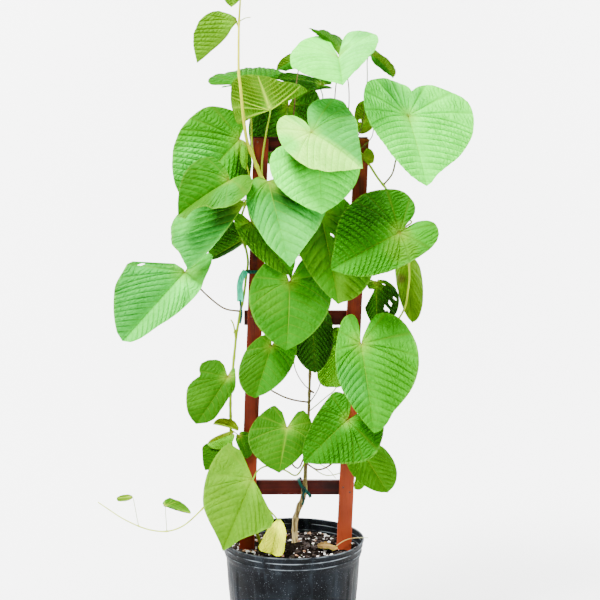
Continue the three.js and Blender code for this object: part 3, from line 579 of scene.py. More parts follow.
# Half of a heart-shaped blade: the share of the way across, and along the midrib from joint to tip.
HEART = ((0.03, -0.1), (0.12, -0.28), (0.4, -0.33), (0.72, -0.2), (0.94, 0.02), (1.0, 0.29),
         (0.88, 0.55), (0.63, 0.76), (0.33, 0.905), (0.1, 0.968), (0.0, 1.0))
NOTCH_OPENING = (0.07, 0.13, 0.05)
# The widest points lie this share of the way from joint to tip.
WIDEST = 0.28
# The turn from one vein of a lobe to the next, in radians.
LOBE_VEIN_TURN = 0.33
# Points from one corner of an outline to the next, and on its straight end at the tip.
SPAN_POINTS, TIP_POINTS = 24, 12
# A blade shorter than SMALL_LEAF has coarse rows and columns. Rows stand at these shares of the way from one
# side vein to the next, and ROW_ROOM keeps them off the first row and the last.
SMALL_LEAF = 95
FINE_ROWS = (0.0, 0.1, 0.3, 0.5, 0.7, 0.9)
COARSE_ROWS = (0.0, 0.14, 0.5, 0.86)
ROW_ROOM = 0.03
# Columns stand at these shares of the way from the midrib to the edge.
FINE_COLUMNS = (0, 0.012, 0.035, 0.075, 0.13, 0.2, 0.27, 0.34, 0.41, 0.48, 0.55, 0.62, 0.69, 0.76,
                0.83, 0.9, 0.95, 0.985, 1)
COARSE_COLUMNS = (0, 0.025, 0.09, 0.2, 0.33, 0.47, 0.61, 0.75, 0.88, 0.97, 1)
SIDES = {"left": -1, "right": 1}
# How far a blade's forms rise, in shares of its length, and its groove, veins and thickness in millimetres.
PLEAT, WAVE, DRIFT, QUILT = 0.019, 0.012, 0.018, 0.006
GROOVE_DEPTH, GROOVE_WIDTH, VEIN_RISE, THICKNESS = 1.1, 3.2, 0.35, 0.8
# How much of a vein shows beside the midrib, on the first side vein, on the lobes' veins and on the others.
BESIDE_MIDRIB, FIRST_VEIN, LOBE_VEIN, SIDE_VEIN = 0.4, 0.85, 0.5, 0.28
# The shades round a blade's joint, on a folded margin and along its edge, and the most that a value may be.
JOINT_GREEN, HEM_CREAM, EDGE_LIME, BRIGHTEST = (0.26, 0.46, 0.008), (0.62, 0.60, 0.12), (0.4, 0.7, 0.06), 0.92
# A stalk's sides and the length of its steps, and how far behind the blade it turns to the joint: where its
# points are drawn, and at most.
STALK_SIDES, STALK_STEP, DRAWN_EASE, MOST_EASE = 8, 5, 9, 36
# What a leaf has unless its row says otherwise.
USUAL = {
    "via": (),  # points that its stalk passes
    "thick": 1.4,  # radius of its stalk
    "stalk": "stalk",  # colour of its stalk
    "lobes": None,  # how far each lobe of a plain heart reaches back
    "sinus": 0.3,  # how open a plain heart's notch is
    "left_edge": None, "right_edge": None,  # a drawn outline: across and along in turn, in hundredths
    "flat_notch": 0.0,  # the reach from the joint below which the outline's notch is left out
    "skin": "ribbed", "gap": 0.1,  # its skin, and the way from one side vein to the next
    "pleat": 1.0, "wave": 1.0, "arch": 0.06, "crown": 0.05,
    # Its patches are mostly painted shadows cast by other leaves and painted light, with a few real stains.
    "patches": (),  # side, across, along, reach in millimetres, shade and how much of it
    "holes": (),  # side, across, along and reach in millimetres
    "hem": None, "tip_shade": None,  # the side with a pale folded margin, and another shade at the tip
}


def leaf(name, shades, slot, stem, share, joint, tip, left, right, **more):
    """A row of the leaf tables: the shade of the blade, or of its left and right halves, the slot, the stem and
    the share of it that the leaf grows from, and the blade's joint, its tip and its two widest points."""
    left_shade, _, right_shade = shades.partition(" ")
    row = dict(name=name, shades=(left_shade, right_shade or left_shade), slot=slot, stem=stem, share=share,
               joint=joint, tip=tip, left=left, right=right)
    return SimpleNamespace(**{**USUAL, **row, **more})


LEAVES = [
    leaf("leaf_shoot_young", "lime acid", "leaf_lime", "top_shoot", 0.73, (-91, -77, 1135), (-157, -95, 1065),
         (-147, -92, 1143), (-105, -45, 1108),
         left_edge=(13, -3, 41, -1, 69, 4, 90, 13, 100, 29, 98, 48, 83, 66, 56, 81, 29, 91),
         right_edge=(6, 2, 2, 16, 13, 32, 12, 50, 5, 67, 3, 85),
         skin="silky", crown=0.02),
    leaf("leaf_crown_level", "leaf", "leaf_mid", "top_shoot", 0.12, (-86, 10, 1036), (-2, 62, 1050),
         (-36, -5, 1037), (-99, 60, 1060), via=[(-70, -14, 930), (-72, -6, 980)], lobes=(1.6, 1.6)),
    leaf("leaf_crown_underside", "lime", "leaf_lime", "top_shoot", 0.06, (-38, -40, 990), (-58, -66, 1047),
         (-100, -44, 1002), (18, -50, 1022), via=[(-53, -17, 899), (-50, -24, 923), (-44, -34, 957)],
         left_edge=(3, -2, 33, -6, 64, -15, 93, -29, 110, -33, 111, -5, 109, 24, 97, 57, 82, 84, 54, 99,
                    25, 103),
         right_edge=(4, 2, 14, 11, 35, 16, 61, 20, 89, 23, 111, 23, 98, 41, 75, 55, 54, 63, 36, 77, 19, 90),
         pleat=2.4, gap=0.115, flat_notch=0.6,
         patches=[("left", 0.35, 0, 30, "leaf", 0.6), ("right", 0.9, 0.3, 30, "spring", 0.6)]),
    leaf("leaf_crown_behind", "grass", "leaf_deep", "main_stem", 0.9, (-8, 36, 1000), (-41, 62, 897),
         (-76, 45, 979), (44, 52, 975), via=[(-18, 27, 930), (-10, 28, 985)], lobes=(1, 1), stalk="olive"),
    # Its shade patch paints the shadow on the lobe below its joint.
    leaf("leaf_upper_left", "fresh", "leaf_mid", "left_stem", 0.99, (-91, -16, 942), (-193, -30, 841),
         (-181, -45, 972), (-98, -8, 852), via=[(-80, -22, 900)], lobes=(0.6, 0.2), skin="silky", gap=0.085,
         patches=[("left", 0.75, -0.05, 62, "grass", 0.5), ("left", 0.3, 0.6, 56, "mint", 0.55),
                  ("right", 0.7, 0.6, 50, "mint", 0.5), ("right", 0.6, 0, 48, "shade", 0.9)]),
    leaf("leaf_left_cupped", "leaf spring", "leaf_mid", "left_stem", 0.97, (-107, -60, 872), (-194, -98, 812),
         (-170, -76, 896), (-123, -112, 829), via=[(-84, -34, 862)],
         left_edge=(10, -4, 33, -8, 64, -9, 91, -3, 99, 12, 96, 35, 69, 60, 32, 82, 1, 96),
         right_edge=(4, -7, 20, -19, 54, -34, 86, -39, 117, -31, 139, -10, 136, 14, 106, 34, 58, 55, 45, 72,
                     57, 86),
         skin="smooth", pleat=0.5, gap=0.12,
         patches=[("right", 0.75, 0.15, 40, "sea", 0.4), ("left", 0.9, 0.5, 34, "grass", 0.6)]),
    leaf("leaf_shoot_small", "backlit lime", "leaf_lime", "top_shoot", 0.2, (-82, -46, 936), (-80, -36, 889),
         (-95, -40, 909), (-72, -38, 918),
         left_edge=(10, -3, 38, 4, 60, 24, 62, 48, 40, 76),
         right_edge=(10, -3, 30, 6, 42, 30, 40, 55, 24, 80),
         thick=0.9),
    # Its shade patches paint the shadow that leaf_left_cupped casts on its upper part.
    leaf("leaf_left_hanging", "sea mint", "leaf_pale", "left_stem", 0.94, (-81, -44, 833), (-177, -74, 721),
         (-194, -60, 813), (-134, -6, 792), via=[(-82, -28, 838)],
         left_edge=(11, -4, 39, -4, 71, 3, 97, 13, 108, 27, 98, 47, 80, 64, 54, 75, 27, 88),
         right_edge=(0, 4, 57, -1, 106, 2, 149, 10, 196, 21, 110, 49, 47, 72, 0, 94),
         skin="smooth", hem="right", pleat=0.7, gap=0.115,
         patches=[("right", 0.4, 0.25, 46, "shade", 0.9), ("left", 0.25, 0.12, 56, "shade", 0.95),
                  ("left", 0.8, 0.3, 40, "mint", 0.6)]),
    leaf("leaf_left_shade", "grass deep", "leaf_deep", "left_stem", 0.84, (-82, 16, 770), (-146, 12, 733),
         (-128, 22, 790), (-108, 26, 746), lobes=(0.6, 0.6), thick=0.9),
    leaf("leaf_centre_ribbed", "spring leaf", "leaf_mid", "left_stem", 0.86, (-72, -24, 800), (-1, -44, 708),
         (-80, -34, 762), (-13, -36, 812), lobes=(0.6, 0.6)),
    # Its leaf and shade patches paint the shadow on its upper half.
    leaf("leaf_centre_upper", "sea", "leaf_pale", "main_stem", 0.99, (-42, -56, 871), (-4, -94, 728),
         (-72, -66, 829), (56, -76, 829),
         left_edge=(6, -1, 31, -4, 76, 3, 106, 18, 112, 35, 93, 55, 68, 74, 38, 86, 17, 93),
         right_edge=(5, -1, 25, -3, 56, -1, 84, 6, 103, 18, 99, 32, 79, 52, 50, 71, 26, 85, 10, 95),
         skin="smooth", pleat=0.75, gap=0.115,
         patches=[("left", 0.6, 0.05, 44, "leaf", 0.85), ("right", 0.28, 0.08, 60, "shade", 0.9),
                  ("right", 0.9, 0.1, 26, "leaf", 0.6), ("left", 0.2, 0.85, 70, "mint", 0.6),
                  ("right", 0.3, 0.75, 60, "mint", 0.5)]),
    # Its cream half and pale patch paint the light that its lower left half reflects.
    leaf("leaf_front_pale", "cream sea", "leaf_pale", "right_stem", 0.1, (31, -95, 952), (115, -135, 893),
         (13, -158, 900), (94, -78, 986), via=[(8, -40, 940), (14, -70, 962)],
         left_edge=(-9, -5, -18, -19, -19, -33, -9, -44, 14, -49, 39, -47, 60, -38, 86, -17, 98, 7, 102, 30,
                    97, 50, 81, 69, 48, 87, 20, 95),
         right_edge=(7, -5, 16, -15, 33, -24, 56, -27, 84, -20, 106, -6, 110, 12, 103, 24, 93, 40, 74, 55,
                     51, 67, 31, 80, 14, 91),
         skin="smooth", pleat=0.6, gap=0.115,
         patches=[("left", 0.85, -0.1, 34, "mint_pale", 0.8), ("right", 0.6, 0.1, 46, "leaf", 0.45)]),
    # Its shade patches paint the shadow that leaf_front_pale casts across its top.
    leaf("leaf_front_mint", "mint_pale", "leaf_pale", "right_stem", 0.17, (43, -60, 923), (49, -106, 817),
         (-38, -84, 890), (113, -76, 896), lobes=(0.4, 0.4), skin="smooth", pleat=0.7, gap=0.11,
         patches=[("left", 0.25, 0.08, 52, "shade", 0.9), ("right", 0.35, 0.1, 54, "shade", 0.9)]),
    # Its deep patches paint the shadow on its upper part.
    leaf("leaf_centre_right", "spring", "leaf_mid", "main_stem", 0.92, (47, -14, 817), (78, -50, 660),
         (-1, -36, 776), (137, -24, 751), lobes=(0.8, 0.8), skin="smooth", pleat=0.7, gap=0.115,
         patches=[("left", 0.4, 0.2, 50, "deep", 0.7), ("right", 0.5, 0.1, 44, "deep", 0.6),
                  ("left", 0.2, 0.85, 44, "fresh", 0.5), ("right", 0.2, 0.85, 40, "lime", 0.5)],
         holes=[("right", 0.15, 0.25, 1.4)]),
    # Its lime patch paints light on the lower half near the joint.
    leaf("leaf_right_broad", "leaf fresh", "leaf_mid", "right_stem", 0.56, (182, -46, 782), (65, -84, 722),
         (111, -52, 845), (175, -92, 726), via=[(205, -26, 800), (195, -35, 793)],
         left_edge=(2, -3, 11, -18, 16, -27, 29, -33, 45, -33, 64, -28, 81, -15, 90, -1, 97, 21, 92, 40, 81, 59,
                    62, 73, 42, 82, 25, 90, 11, 97),
         right_edge=(0, -6, -6, -16, -7, -27, 5, -37, 27, -44, 54, -44, 81, -38, 95, -25, 103, -4, 107, 19,
                     102, 38, 91, 58, 70, 76, 39, 90),
         gap=0.08,
         patches=[("right", 0.5, 0.1, 44, "lime", 0.65), ("left", 0.7, 0.1, 64, "deep", 0.55),
                  ("right", 0.1, 0, 26, "acid", 0.6)]),
    leaf("leaf_right_top", "mint_pale", "leaf_pale", "right_stem", 0.46, (198, -12, 981), (228, -50, 862),
         (124, -40, 979), (306, -30, 970), via=[(172, -6, 882), (178, -3, 904), (190, -1, 944)],
         left_edge=(-10, -11, -20, -24, -27, -37, -26, -47, -11, -49, 7, -47, 25, -46, 54, -38, 76, -27,
                    89, -11, 98, 11, 98, 31, 92, 48, 80, 61, 68, 75, 51, 87, 35, 95, 18, 99),
         right_edge=(2, -7, 5, -18, 11, -28, 24, -35, 45, -35, 62, -27, 77, -19, 91, -10, 101, 0, 104, 16,
                     100, 33, 91, 49, 76, 63, 59, 74, 36, 83, 19, 90, 9, 97),
         skin="silky", stalk="olive", pleat=1.7, gap=0.085,
         patches=[("left", 0.1, -0.25, 44, "sea", 0.7), ("right", 0.1, -0.2, 38, "sea", 0.7)]),
    leaf("leaf_top_pale", "mint_pale mint", "leaf_pale", "right_stem", 0.2, (78, -10, 1081), (82, -125, 1028),
         (-2, -50, 1078), (144, -44, 1102), via=[(66, -4, 960), (74, -2, 1030)],
         left_edge=(0, -7, 5, -24, 8, -41, 17, -56, 34, -65, 51, -54, 69, -35, 83, -14, 97, 15, 102, 53,
                    100, 75, 88, 87, 69, 98, 45, 102, 21, 102),
         right_edge=(2, -4, 9, -13, 15, -32, 20, -51, 34, -61, 54, -47, 81, -15, 100, 8, 100, 39, 88, 64,
                     68, 80, 46, 91, 25, 95, 10, 98),
         skin="smooth", stalk="brown", pleat=0.35, gap=0.13, thick=1,
         patches=[("right", 0.75, -0.25, 34, "sea", 0.6), ("right", 0.15, -0.1, 20, "fresh", 0.6)]),
    leaf("leaf_top_edge", "grass", "leaf_deep", "right_stem", 0.26, (88, 50, 1094), (28, 54, 1136),
         (72, 86, 1120), (60, 44, 1104), via=[(92, 2, 962), (97, 34, 1040)],
         left_edge=(66, -3, 151, 9, 125, 37, 16, 77),
         right_edge=(81, -5, 83, 9, 105, 32, 88, 62, 87, 79),
         stalk="brown", thick=1),
    leaf("leaf_top_back_left", "acid leaf", "leaf_mid", "right_stem", 0.07, (22, 20, 1087), (-29, 36, 1062),
         (-5, 34, 1096), (6, 14, 1061), via=[(-2, -18, 955), (7, -19, 1040), (14, -2, 1076)],
         left_edge=(18, 0, 45, 14, 56, 37, 47, 64, 25, 87),
         right_edge=(38, -9, 78, 1, 89, 29, 79, 60),
         stalk="brown", thick=1),
    leaf("leaf_top_shade", "deep", "leaf_deep", "right_stem", 0.15, (51, 22, 1036), (-27, -8, 1044),
         (13, 34, 1050), (18, 4, 1024), via=[(44, -4, 960), (52, 14, 1015)], lobes=(0.8, 0.8), stalk="brown",
         thick=1),
    leaf("leaf_top_back_right", "leaf acid", "leaf_deep", "right_stem", 0.3, (136, 4, 1087), (174, 14, 1047),
         (148, -4, 1061), (163, 22, 1078), via=[(116, -9, 955), (128, 0, 1040)], lobes=(0.5, 0.5),
         stalk="olive", thick=0.9),
    leaf("leaf_left_far", "sea mint", "leaf_pale", "left_stem", 0.69, (-185, -42, 715), (-291, -68, 599),
         (-270, -66, 714), (-179, -58, 667), via=[(-118, -14, 648), (-144, -22, 668), (-167, -28, 692)],
         left_edge=(7, -2, 32, -3, 61, 0, 83, 4, 102, 6, 117, 6, 117, 11, 124, 16, 131, 20, 126, 31, 117, 47,
                    92, 64, 59, 81, 27, 94),
         right_edge=(-5, -5, 1, -18, 13, -28, 35, -31, 67, -19, 87, -3, 107, 11, 110, 28, 99, 49, 74, 69,
                     54, 88, 33, 97),
         skin="silky", stalk="brown", pleat=0.95, gap=0.085,
         patches=[("right", 0.9, -0.1, 34, "grass", 0.75), ("left", 0.2, 0.05, 30, "sea", 0.8)],
         holes=[("left", 1.03, 0.14, 2.6)]),
    leaf("leaf_left_low", "grass", "leaf_mid", "left_stem", 0.55, (-113, -26, 530), (-168, -50, 451),
         (-180, -42, 520), (-99, -30, 504),
         left_edge=(5, -1, 21, -9, 35, -20, 57, -27, 84, -26, 105, -17, 101, -4, 86, 9, 96, 20, 98, 34, 80, 57,
                    52, 79, 25, 92),
         right_edge=(-1, -2, -5, -12, 0, -19, 25, -9, 60, 9, 83, 27, 79, 41, 81, 61, 79, 84, 54, 95),
         skin="smooth", pleat=0.5, gap=0.13, patches=[("left", 0.5, 0.5, 30, "spring", 0.6)]),
    leaf("leaf_centre_low_left", "grass leaf", "leaf_mid", "main_stem", 0.478, (-37, -16, 584), (-66, -36, 494),
         (-92, -26, 552), (2, -24, 555), via=[(0, -4, 485), (-23, -6, 494), (-44, -8, 510), (-42, -6, 550)],
         lobes=(0.7, 0.7), skin="smooth", stalk="brown", pleat=0.5, gap=0.125),
    # Its spring patch paints light on the left half, and its grass patch paints shade on the right half.
    leaf("leaf_centre_heart", "leaf", "leaf_mid", "main_stem", 0.78, (-6, -32, 698), (-11, -68, 582),
         (-76, -62, 669), (66, -24, 670), lobes=(1, 1), sinus=0.9, skin="smooth", pleat=0.5, gap=0.125,
         patches=[("left", 0.5, 0.3, 40, "spring", 0.6), ("right", 0.5, -0.1, 30, "grass", 0.5)]),
    leaf("leaf_centre_shade", "deep", "leaf_deep", "main_stem", 0.505, (34, -8, 640), (39, -12, 534),
         (-3, 2, 600), (71, 0, 600),
         via=[(38, -3, 497), (20, -10, 513), (3, -10, 545), (5, -10, 590), (20, -10, 622)], lobes=(0.6, 0.6),
         stalk="brown", thick=0.9),
    leaf("leaf_centre_lime", "backlit", "leaf_lime", "main_stem", 0.475, (80, 17, 572), (69, 15, 504),
         (43, 17, 536), (101, 16, 533), via=[(44, 9, 500), (60, 20, 545)], lobes=(0.5, 0.5), stalk="olive",
         thick=0.9),
    leaf("leaf_centre_scrap", "backlit", "leaf_deep", "main_stem", 0.455, (101, 29, 580), (66, 29, 593),
         (83, 30, 610), (76, 30, 564), via=[(57, 4, 487), (76, 24, 500), (94, 27, 545)], lobes=(0.5, 0.5),
         thick=0.9),
    leaf("leaf_right_heart", "fresh", "leaf_mid", "right_stem", 0.975, (118, -42, 590), (139, -88, 443),
         (71, -62, 558), (216, -68, 563),
         left_edge=(1, -1, 0, -11, -1, -25, 10, -32, 33, -30, 55, -22, 72, -8, 86, 8, 94, 25, 95, 41, 88, 54,
                    73, 66, 55, 77, 34, 87, 15, 95),
         right_edge=(1, -1, 8, -11, 20, -22, 35, -30, 57, -30, 78, -22, 91, -10, 100, 7, 101, 21, 98, 34,
                     87, 50, 73, 62, 56, 72, 39, 81, 28, 90, 13, 98),
         skin="silky", pleat=1.2, gap=0.085,
         patches=[("right", 0.4, 0.9, 9, "lemon", 0.8), ("left", 0.6, 0.5, 50, "sea", 0.5),
                  ("right", 0.6, -0.1, 34, "leaf", 0.5)]),
    leaf("leaf_right_bitten", "grass deep", "leaf_deep", "main_stem", 0.86, (146, 8, 693), (148, 6, 605),
         (118, 16, 653), (189, 10, 657), via=[(40, -5, 728), (104, -9, 703), (132, -8, 696)],
         left_edge=(8, -3, 35, -11, 53, -7, 48, 4, 12, 14, 30, 23, 71, 30, 62, 49, 39, 71, 17, 93),
         right_edge=(9, -6, 42, -9, 75, -1, 95, 16, 92, 40, 73, 60, 48, 76, 18, 92),
         thick=0.9,
         holes=[("right", 0.33, 0.02, 2.1), ("right", 0.42, 0.47, 4.2), ("right", 0.57, 0.34, 3),
                ("right", 0.8, 0.22, 1.6)]),
    leaf("leaf_right_narrow", "acid", "leaf_mid", "right_stem", 0.67, (197, 12, 735), (210, 2, 621),
         (182, 18, 699), (229, 10, 686), lobes=(0.4, 0.4), skin="smooth", pleat=0.6, gap=0.12, thick=0.9,
         patches=[("left", 0.5, 0.3, 12, "brown", 0.7)]),
    leaf("leaf_right_low", "leaf", "leaf_mid", "main_stem", 0.33, (95, -32, 454), (19, -60, 385),
         (39, -34, 483), (115, -78, 394), via=[(45, -8, 360), (71, -12, 374), (92, -15, 412)],
         left_edge=(3, 1, 13, -13, 36, -23, 65, -20, 87, -9, 84, 9, 77, 29, 67, 48, 55, 63, 43, 78, 27, 90,
                    11, 97),
         right_edge=(3, -3, 7, -21, 22, -40, 48, -49, 72, -44, 93, -31, 107, -17, 117, -2, 118, 15, 104, 34,
                     82, 51, 56, 69, 30, 86),
         stalk="brown", patches=[("left", 0.5, 0.5, 50, "grass", 0.5), ("right", 0.1, 0, 24, "fresh", 0.6)]),
    leaf("leaf_right_lowest", "spring", "leaf_mid", "main_stem", 0.375, (122, -12, 393), (167, -30, 324),
         (104, -24, 356), (175, -12, 382), via=[(55, -3, 385), (97, -8, 400)], lobes=(0.6, 0.6), skin="smooth",
         stalk="brown", pleat=0.6, gap=0.12, thick=0.9),
    leaf("leaf_right_lime_tip", "backlit", "leaf_lime", "main_stem", 0.33, (124, 12, 350), (111, 9, 320),
         (112, 11, 340), (130, 12, 330), via=[(60, 11, 345), (97, 12.5, 352)], lobes=(0.4, 0.4), thick=0.9),
    leaf("leaf_low_centre", "grass", "leaf_lime", "main_stem", 0.36, (-10, -32, 442), (-24, -60, 367),
         (-78, -46, 429), (32, -30, 426), via=[(9, -6, 362), (-4, -9, 375), (-8, -16, 412)], lobes=(1.3, 1),
         sinus=1, skin="smooth", stalk="brown", pleat=0.4, gap=0.13,
         patches=[("left", 0.4, 0.5, 34, "spring", 0.7), ("right", 0.4, 0, 26, "lime", 0.3)]),
    leaf("leaf_low_front", "lime", "leaf_lime", "main_stem", 0.335, (-69, -70, 359), (-118, -128, 249),
         (-151, -96, 343), (-48, -106, 310),
         via=[(6, -9, 350), (-14, -20, 362), (-40, -36, 374), (-60, -52, 370)],
         left_edge=(4, -2, 26, -16, 45, -28, 63, -37, 81, -42, 95, -39, 109, -23, 112, 0, 104, 24, 88, 47,
                    62, 65, 36, 79, 14, 91),
         right_edge=(7, 1, 37, 4, 73, 10, 93, 19, 121, 24, 148, 29, 148, 39, 124, 50, 89, 63, 51, 77, 25, 90),
         skin="smooth", pleat=0.55, gap=0.12),
    leaf("leaf_yellow", "lemon", "leaf_yellow", "left_stem", 0.2, (-24, -55, 284), (-37, -102, 236),
         (-58, -84, 253), (-12, -78, 258), via=[(-50, -34, 300)],
         left_edge=(12, 0, 49, 7, 65, 19, 79, 38, 94, 46, 77, 67, 37, 87),
         right_edge=(9, -2, 59, 5, 95, 20, 105, 44, 113, 67, 95, 84, 52, 97),
         skin="smooth", pleat=0.5, gap=0.14),
    leaf("leaf_low_left_shade", "grass", "leaf_deep", "left_stem", 0.35, (-101, -20, 392), (-154, -36, 366),
         (-154, -26, 410), (-120, -20, 353),
         left_edge=(18, -7, 47, -8, 80, 8, 103, 24, 97, 40, 64, 65, 31, 86),
         right_edge=(10, -2, 50, 3, 54, 33, 33, 67, 10, 87),
         skin="smooth", pleat=0.5, gap=0.14, thick=0.9),
    leaf("leaf_low_pleated", "stalk backlit", "leaf_lime", "left_stem", 0.38, (-106, -21, 428),
         (-150, -32, 412), (-125, -16, 426), (-121, -26, 403), lobes=(0.3, 0.3), thick=0.9),
    leaf("leaf_low_hooked", "stalk", "leaf_deep", "left_stem", 0.43, (-97, -17, 433), (-140, -26, 446),
         (-114, -18, 453), (-114, -24, 442), lobes=(0.2, 0.2), thick=0.9),
    leaf("leaf_low_dark", "grass", "leaf_deep", "left_stem", 0.4, (-95, -18, 424), (-80, -10, 381),
         (-97, -13, 403), (-73, -9, 416), lobes=(0.4, 0.4), thick=0.9),
    leaf("leaf_small_holed", "stalk", "leaf_deep", "right_stem", 0.33, (141, 8, 978), (108, 2, 961),
         (116, 6, 1006), (127, 8, 953), via=[(136, -9, 945)], lobes=(0.5, 0.5), stalk="olive", thick=0.9,
         holes=[("left", 0.2, 0.67, 2.2)]),
    leaf("leaf_small_dark", "stalk", "leaf_deep", "right_stem", 0.31, (121, -18, 912), (140, -16, 904),
         (128, -15, 901), (133, -14, 925), lobes=(0.3, 0.3), thick=0.9),
]
SHOOT_LEAVES = [
    leaf("shoot_0", "lime", "leaf_lime", "top_shoot", 0.94, (-93, -84, 1210), (-100, -98, 1155),
         (-117, -92, 1190), (-76, -86, 1191), lobes=(0.6, 0.6), thick=0.9),
    leaf("shoot_1", "lime", "leaf_lime", "top_shoot", 0.99, (-82, -73, 1233), (-77, -76, 1252),
         (-86, -75, 1242), (-76, -71, 1244), lobes=(0.3, 0.3), thick=0.9),
    leaf("shoot_2", "leaf grass", "leaf_lime", "trailing_shoot", 0.55, (-223, -52, 306), (-177, -56, 295),
         (-204, -46, 317), (-200, -60, 303), lobes=(0.4, 0.4), thick=0.55),
    leaf("shoot_3", "acid", "leaf_lime", "trailing_shoot", 0.72, (-279, -62, 325), (-305, -66, 324),
         (-292, -71, 321), (-293, -58, 329), lobes=(0.3, 0.3), thick=0.55),
]


def vein_climb(across):
    """How far a side vein has climbed toward the tip at a share of the way across."""
    return 0.25 * across + 0.18 * across * across


class Blade:
    """A leaf's blade, from its joint, its tip and the widest points of its two halves."""

    def __init__(self, leaf):
        self.leaf = leaf
        self.joint = Vector(leaf.joint)
        self.midrib = Vector(leaf.tip) - self.joint
        self.length = self.midrib.length
        middle = self.joint + self.midrib * WIDEST
        self.reach = {side: Vector(getattr(leaf, side)) - middle for side in SIDES}
        self.width = {side: self.reach[side].length for side in SIDES}
        self.up = self.midrib.cross(Vector(leaf.right) - Vector(leaf.left)).normalized()
        self.seed = sum(ord(letter) for letter in leaf.name) % 97
        small = self.length < SMALL_LEAF
        self.pattern, self.columns = (COARSE_ROWS, COARSE_COLUMNS) if small else (FINE_ROWS, FINE_COLUMNS)

    def outline(self, side):
        """The half's edge from the notch to the tip, as (across, along)."""
        drawn = getattr(self.leaf, side + "_edge")
        if drawn:
            corners = [Vector((x / 100, y / 100, 0)) for x, y in zip(drawn[::2], drawn[1::2])]
            corners.append(Vector((0, 1, 0)))
        else:
            corners = self.heart(side)
        smoothed = Route.through(corners[:-1], False, SPAN_POINTS)
        smoothed += [corners[-2].lerp(corners[-1], k / TIP_POINTS) for k in range(1, TIP_POINTS + 1)]
        return [(p.x if p.y < 0 else max(p.x, 0.0), p.y) for p in smoothed]

    def heart(self, side):
        lobe = self.leaf.lobes[0 if side == "left" else 1]
        corners = []
        for i, (across, along) in enumerate(HEART):
            if i < len(NOTCH_OPENING):
                across += NOTCH_OPENING[i] * self.leaf.sinus
            corners.append(Vector((across, along * lobe if along < 0 else along, 0)))
        return corners

    def phase(self, side, across, along):
        """The count of side veins from the one that leaves the joint; below it they fan out."""
        past = along - vein_climb(across)
        if past >= 0:
            return past / self.leaf.gap
        return -math.atan2(-past * self.length, across * self.width[side]) / LOBE_VEIN_TURN

    def rows(self, side):
        """The rows of one half, which run beside its side veins: count, veined or not, and end on the edge."""
        edge = self.outline(side)
        phases = [self.phase(side, *p) for p in edge]
        start = phases.index(min(phases))
        if self.leaf.flat_notch:
            outside = [k for k, (x, y) in enumerate(edge) if math.hypot(x, y) > self.leaf.flat_notch]
            start = min(outside, key=lambda k: phases[k])
        edge, phases = edge[start:], list(np.maximum.accumulate(phases[start:]))
        last = 1 / self.leaf.gap
        marks = {phases[0]: 0.0, last: 0.0}
        for whole in range(math.floor(phases[0]), math.ceil(last)):
            for offset in self.pattern:
                if phases[0] + ROW_ROOM < whole + offset < last - ROW_ROOM:
                    marks[whole + offset] = 1.0 if offset == 0 else 0.0
        out = []
        for mark, vein in sorted(marks.items()):
            across, along = (float(np.interp(mark, phases, [p[axis] for p in edge])) for axis in (0, 1))
            out.append((mark, vein, across, along))
        out[-1] = (last, 0.0, 0.0, 1.0)
        return out

    def spot(self, row, share):
        """Where a row is at a share of its way from midrib to edge, as (across, along)."""
        mark, _, across, along = row
        x = share * across
        if mark >= 0:
            return x, mark * self.leaf.gap + vein_climb(x)
        bend = smooth(-1.5, 0, mark)
        return x, share * along + bend * (vein_climb(x) - share * vein_climb(across))

    def point(self, side, row, share, vein):
        leaf, length, width, seed = self.leaf, self.length, self.width[side], self.seed
        x, y = self.spot(row, share)
        below = min(0.0, y - vein_climb(x)) * (length / width)
        out = math.sqrt(x * x + below * below)
        hump = abs(math.sin(math.pi * row[0])) ** 0.8 - 0.55
        pleat = leaf.pleat * PLEAT * length * hump * smooth(0.02, 0.3, out)
        pleat *= 1 - 0.4 * smooth(0.7, 1.0, share)
        groove = -GROOVE_DEPTH * bump(x * width, 0, GROOVE_WIDTH) * (1 - 0.5 * max(y, 0))
        wave = leaf.wave * WAVE * length * out * out
        wave *= math.sin(2 * math.pi * row[0] / 3.1 + seed) * smooth(1.02, 0.8, y)
        drift = DRIFT * length * out * noise.noise(Vector((SIDES[side] * x * 1.6, y * 1.6, seed)))
        quilt = QUILT * length * smooth(0.05, 0.4, out) * noise.noise(Vector((x * 9, y * 9, seed + 40)))
        lift = (leaf.arch * length * 4 * max(y, 0) * (1 - y)
                + leaf.crown * length * math.sin(math.pi * min(x, 1))
                + pleat + groove + wave + drift + quilt - VEIN_RISE * vein)
        return self.joint + self.midrib * y + self.reach[side] * x + self.up * lift

    def colour(self, side, row, share, vein):
        leaf, width = self.leaf, self.width[side]
        x, y = self.spot(row, share)
        # Two shades for the halves mostly paint one half lit and the other in shade.
        here, there = leaf.shades if side == "left" else reversed(leaf.shades)
        shade = blend(GREENS[there], GREENS[here], 0.5 + 0.5 * smooth(0.0, 0.10, x))
        if leaf.tip_shade:
            shade = blend(shade, GREENS[leaf.tip_shade], 0.8 * smooth(0.35, 1.0, y))
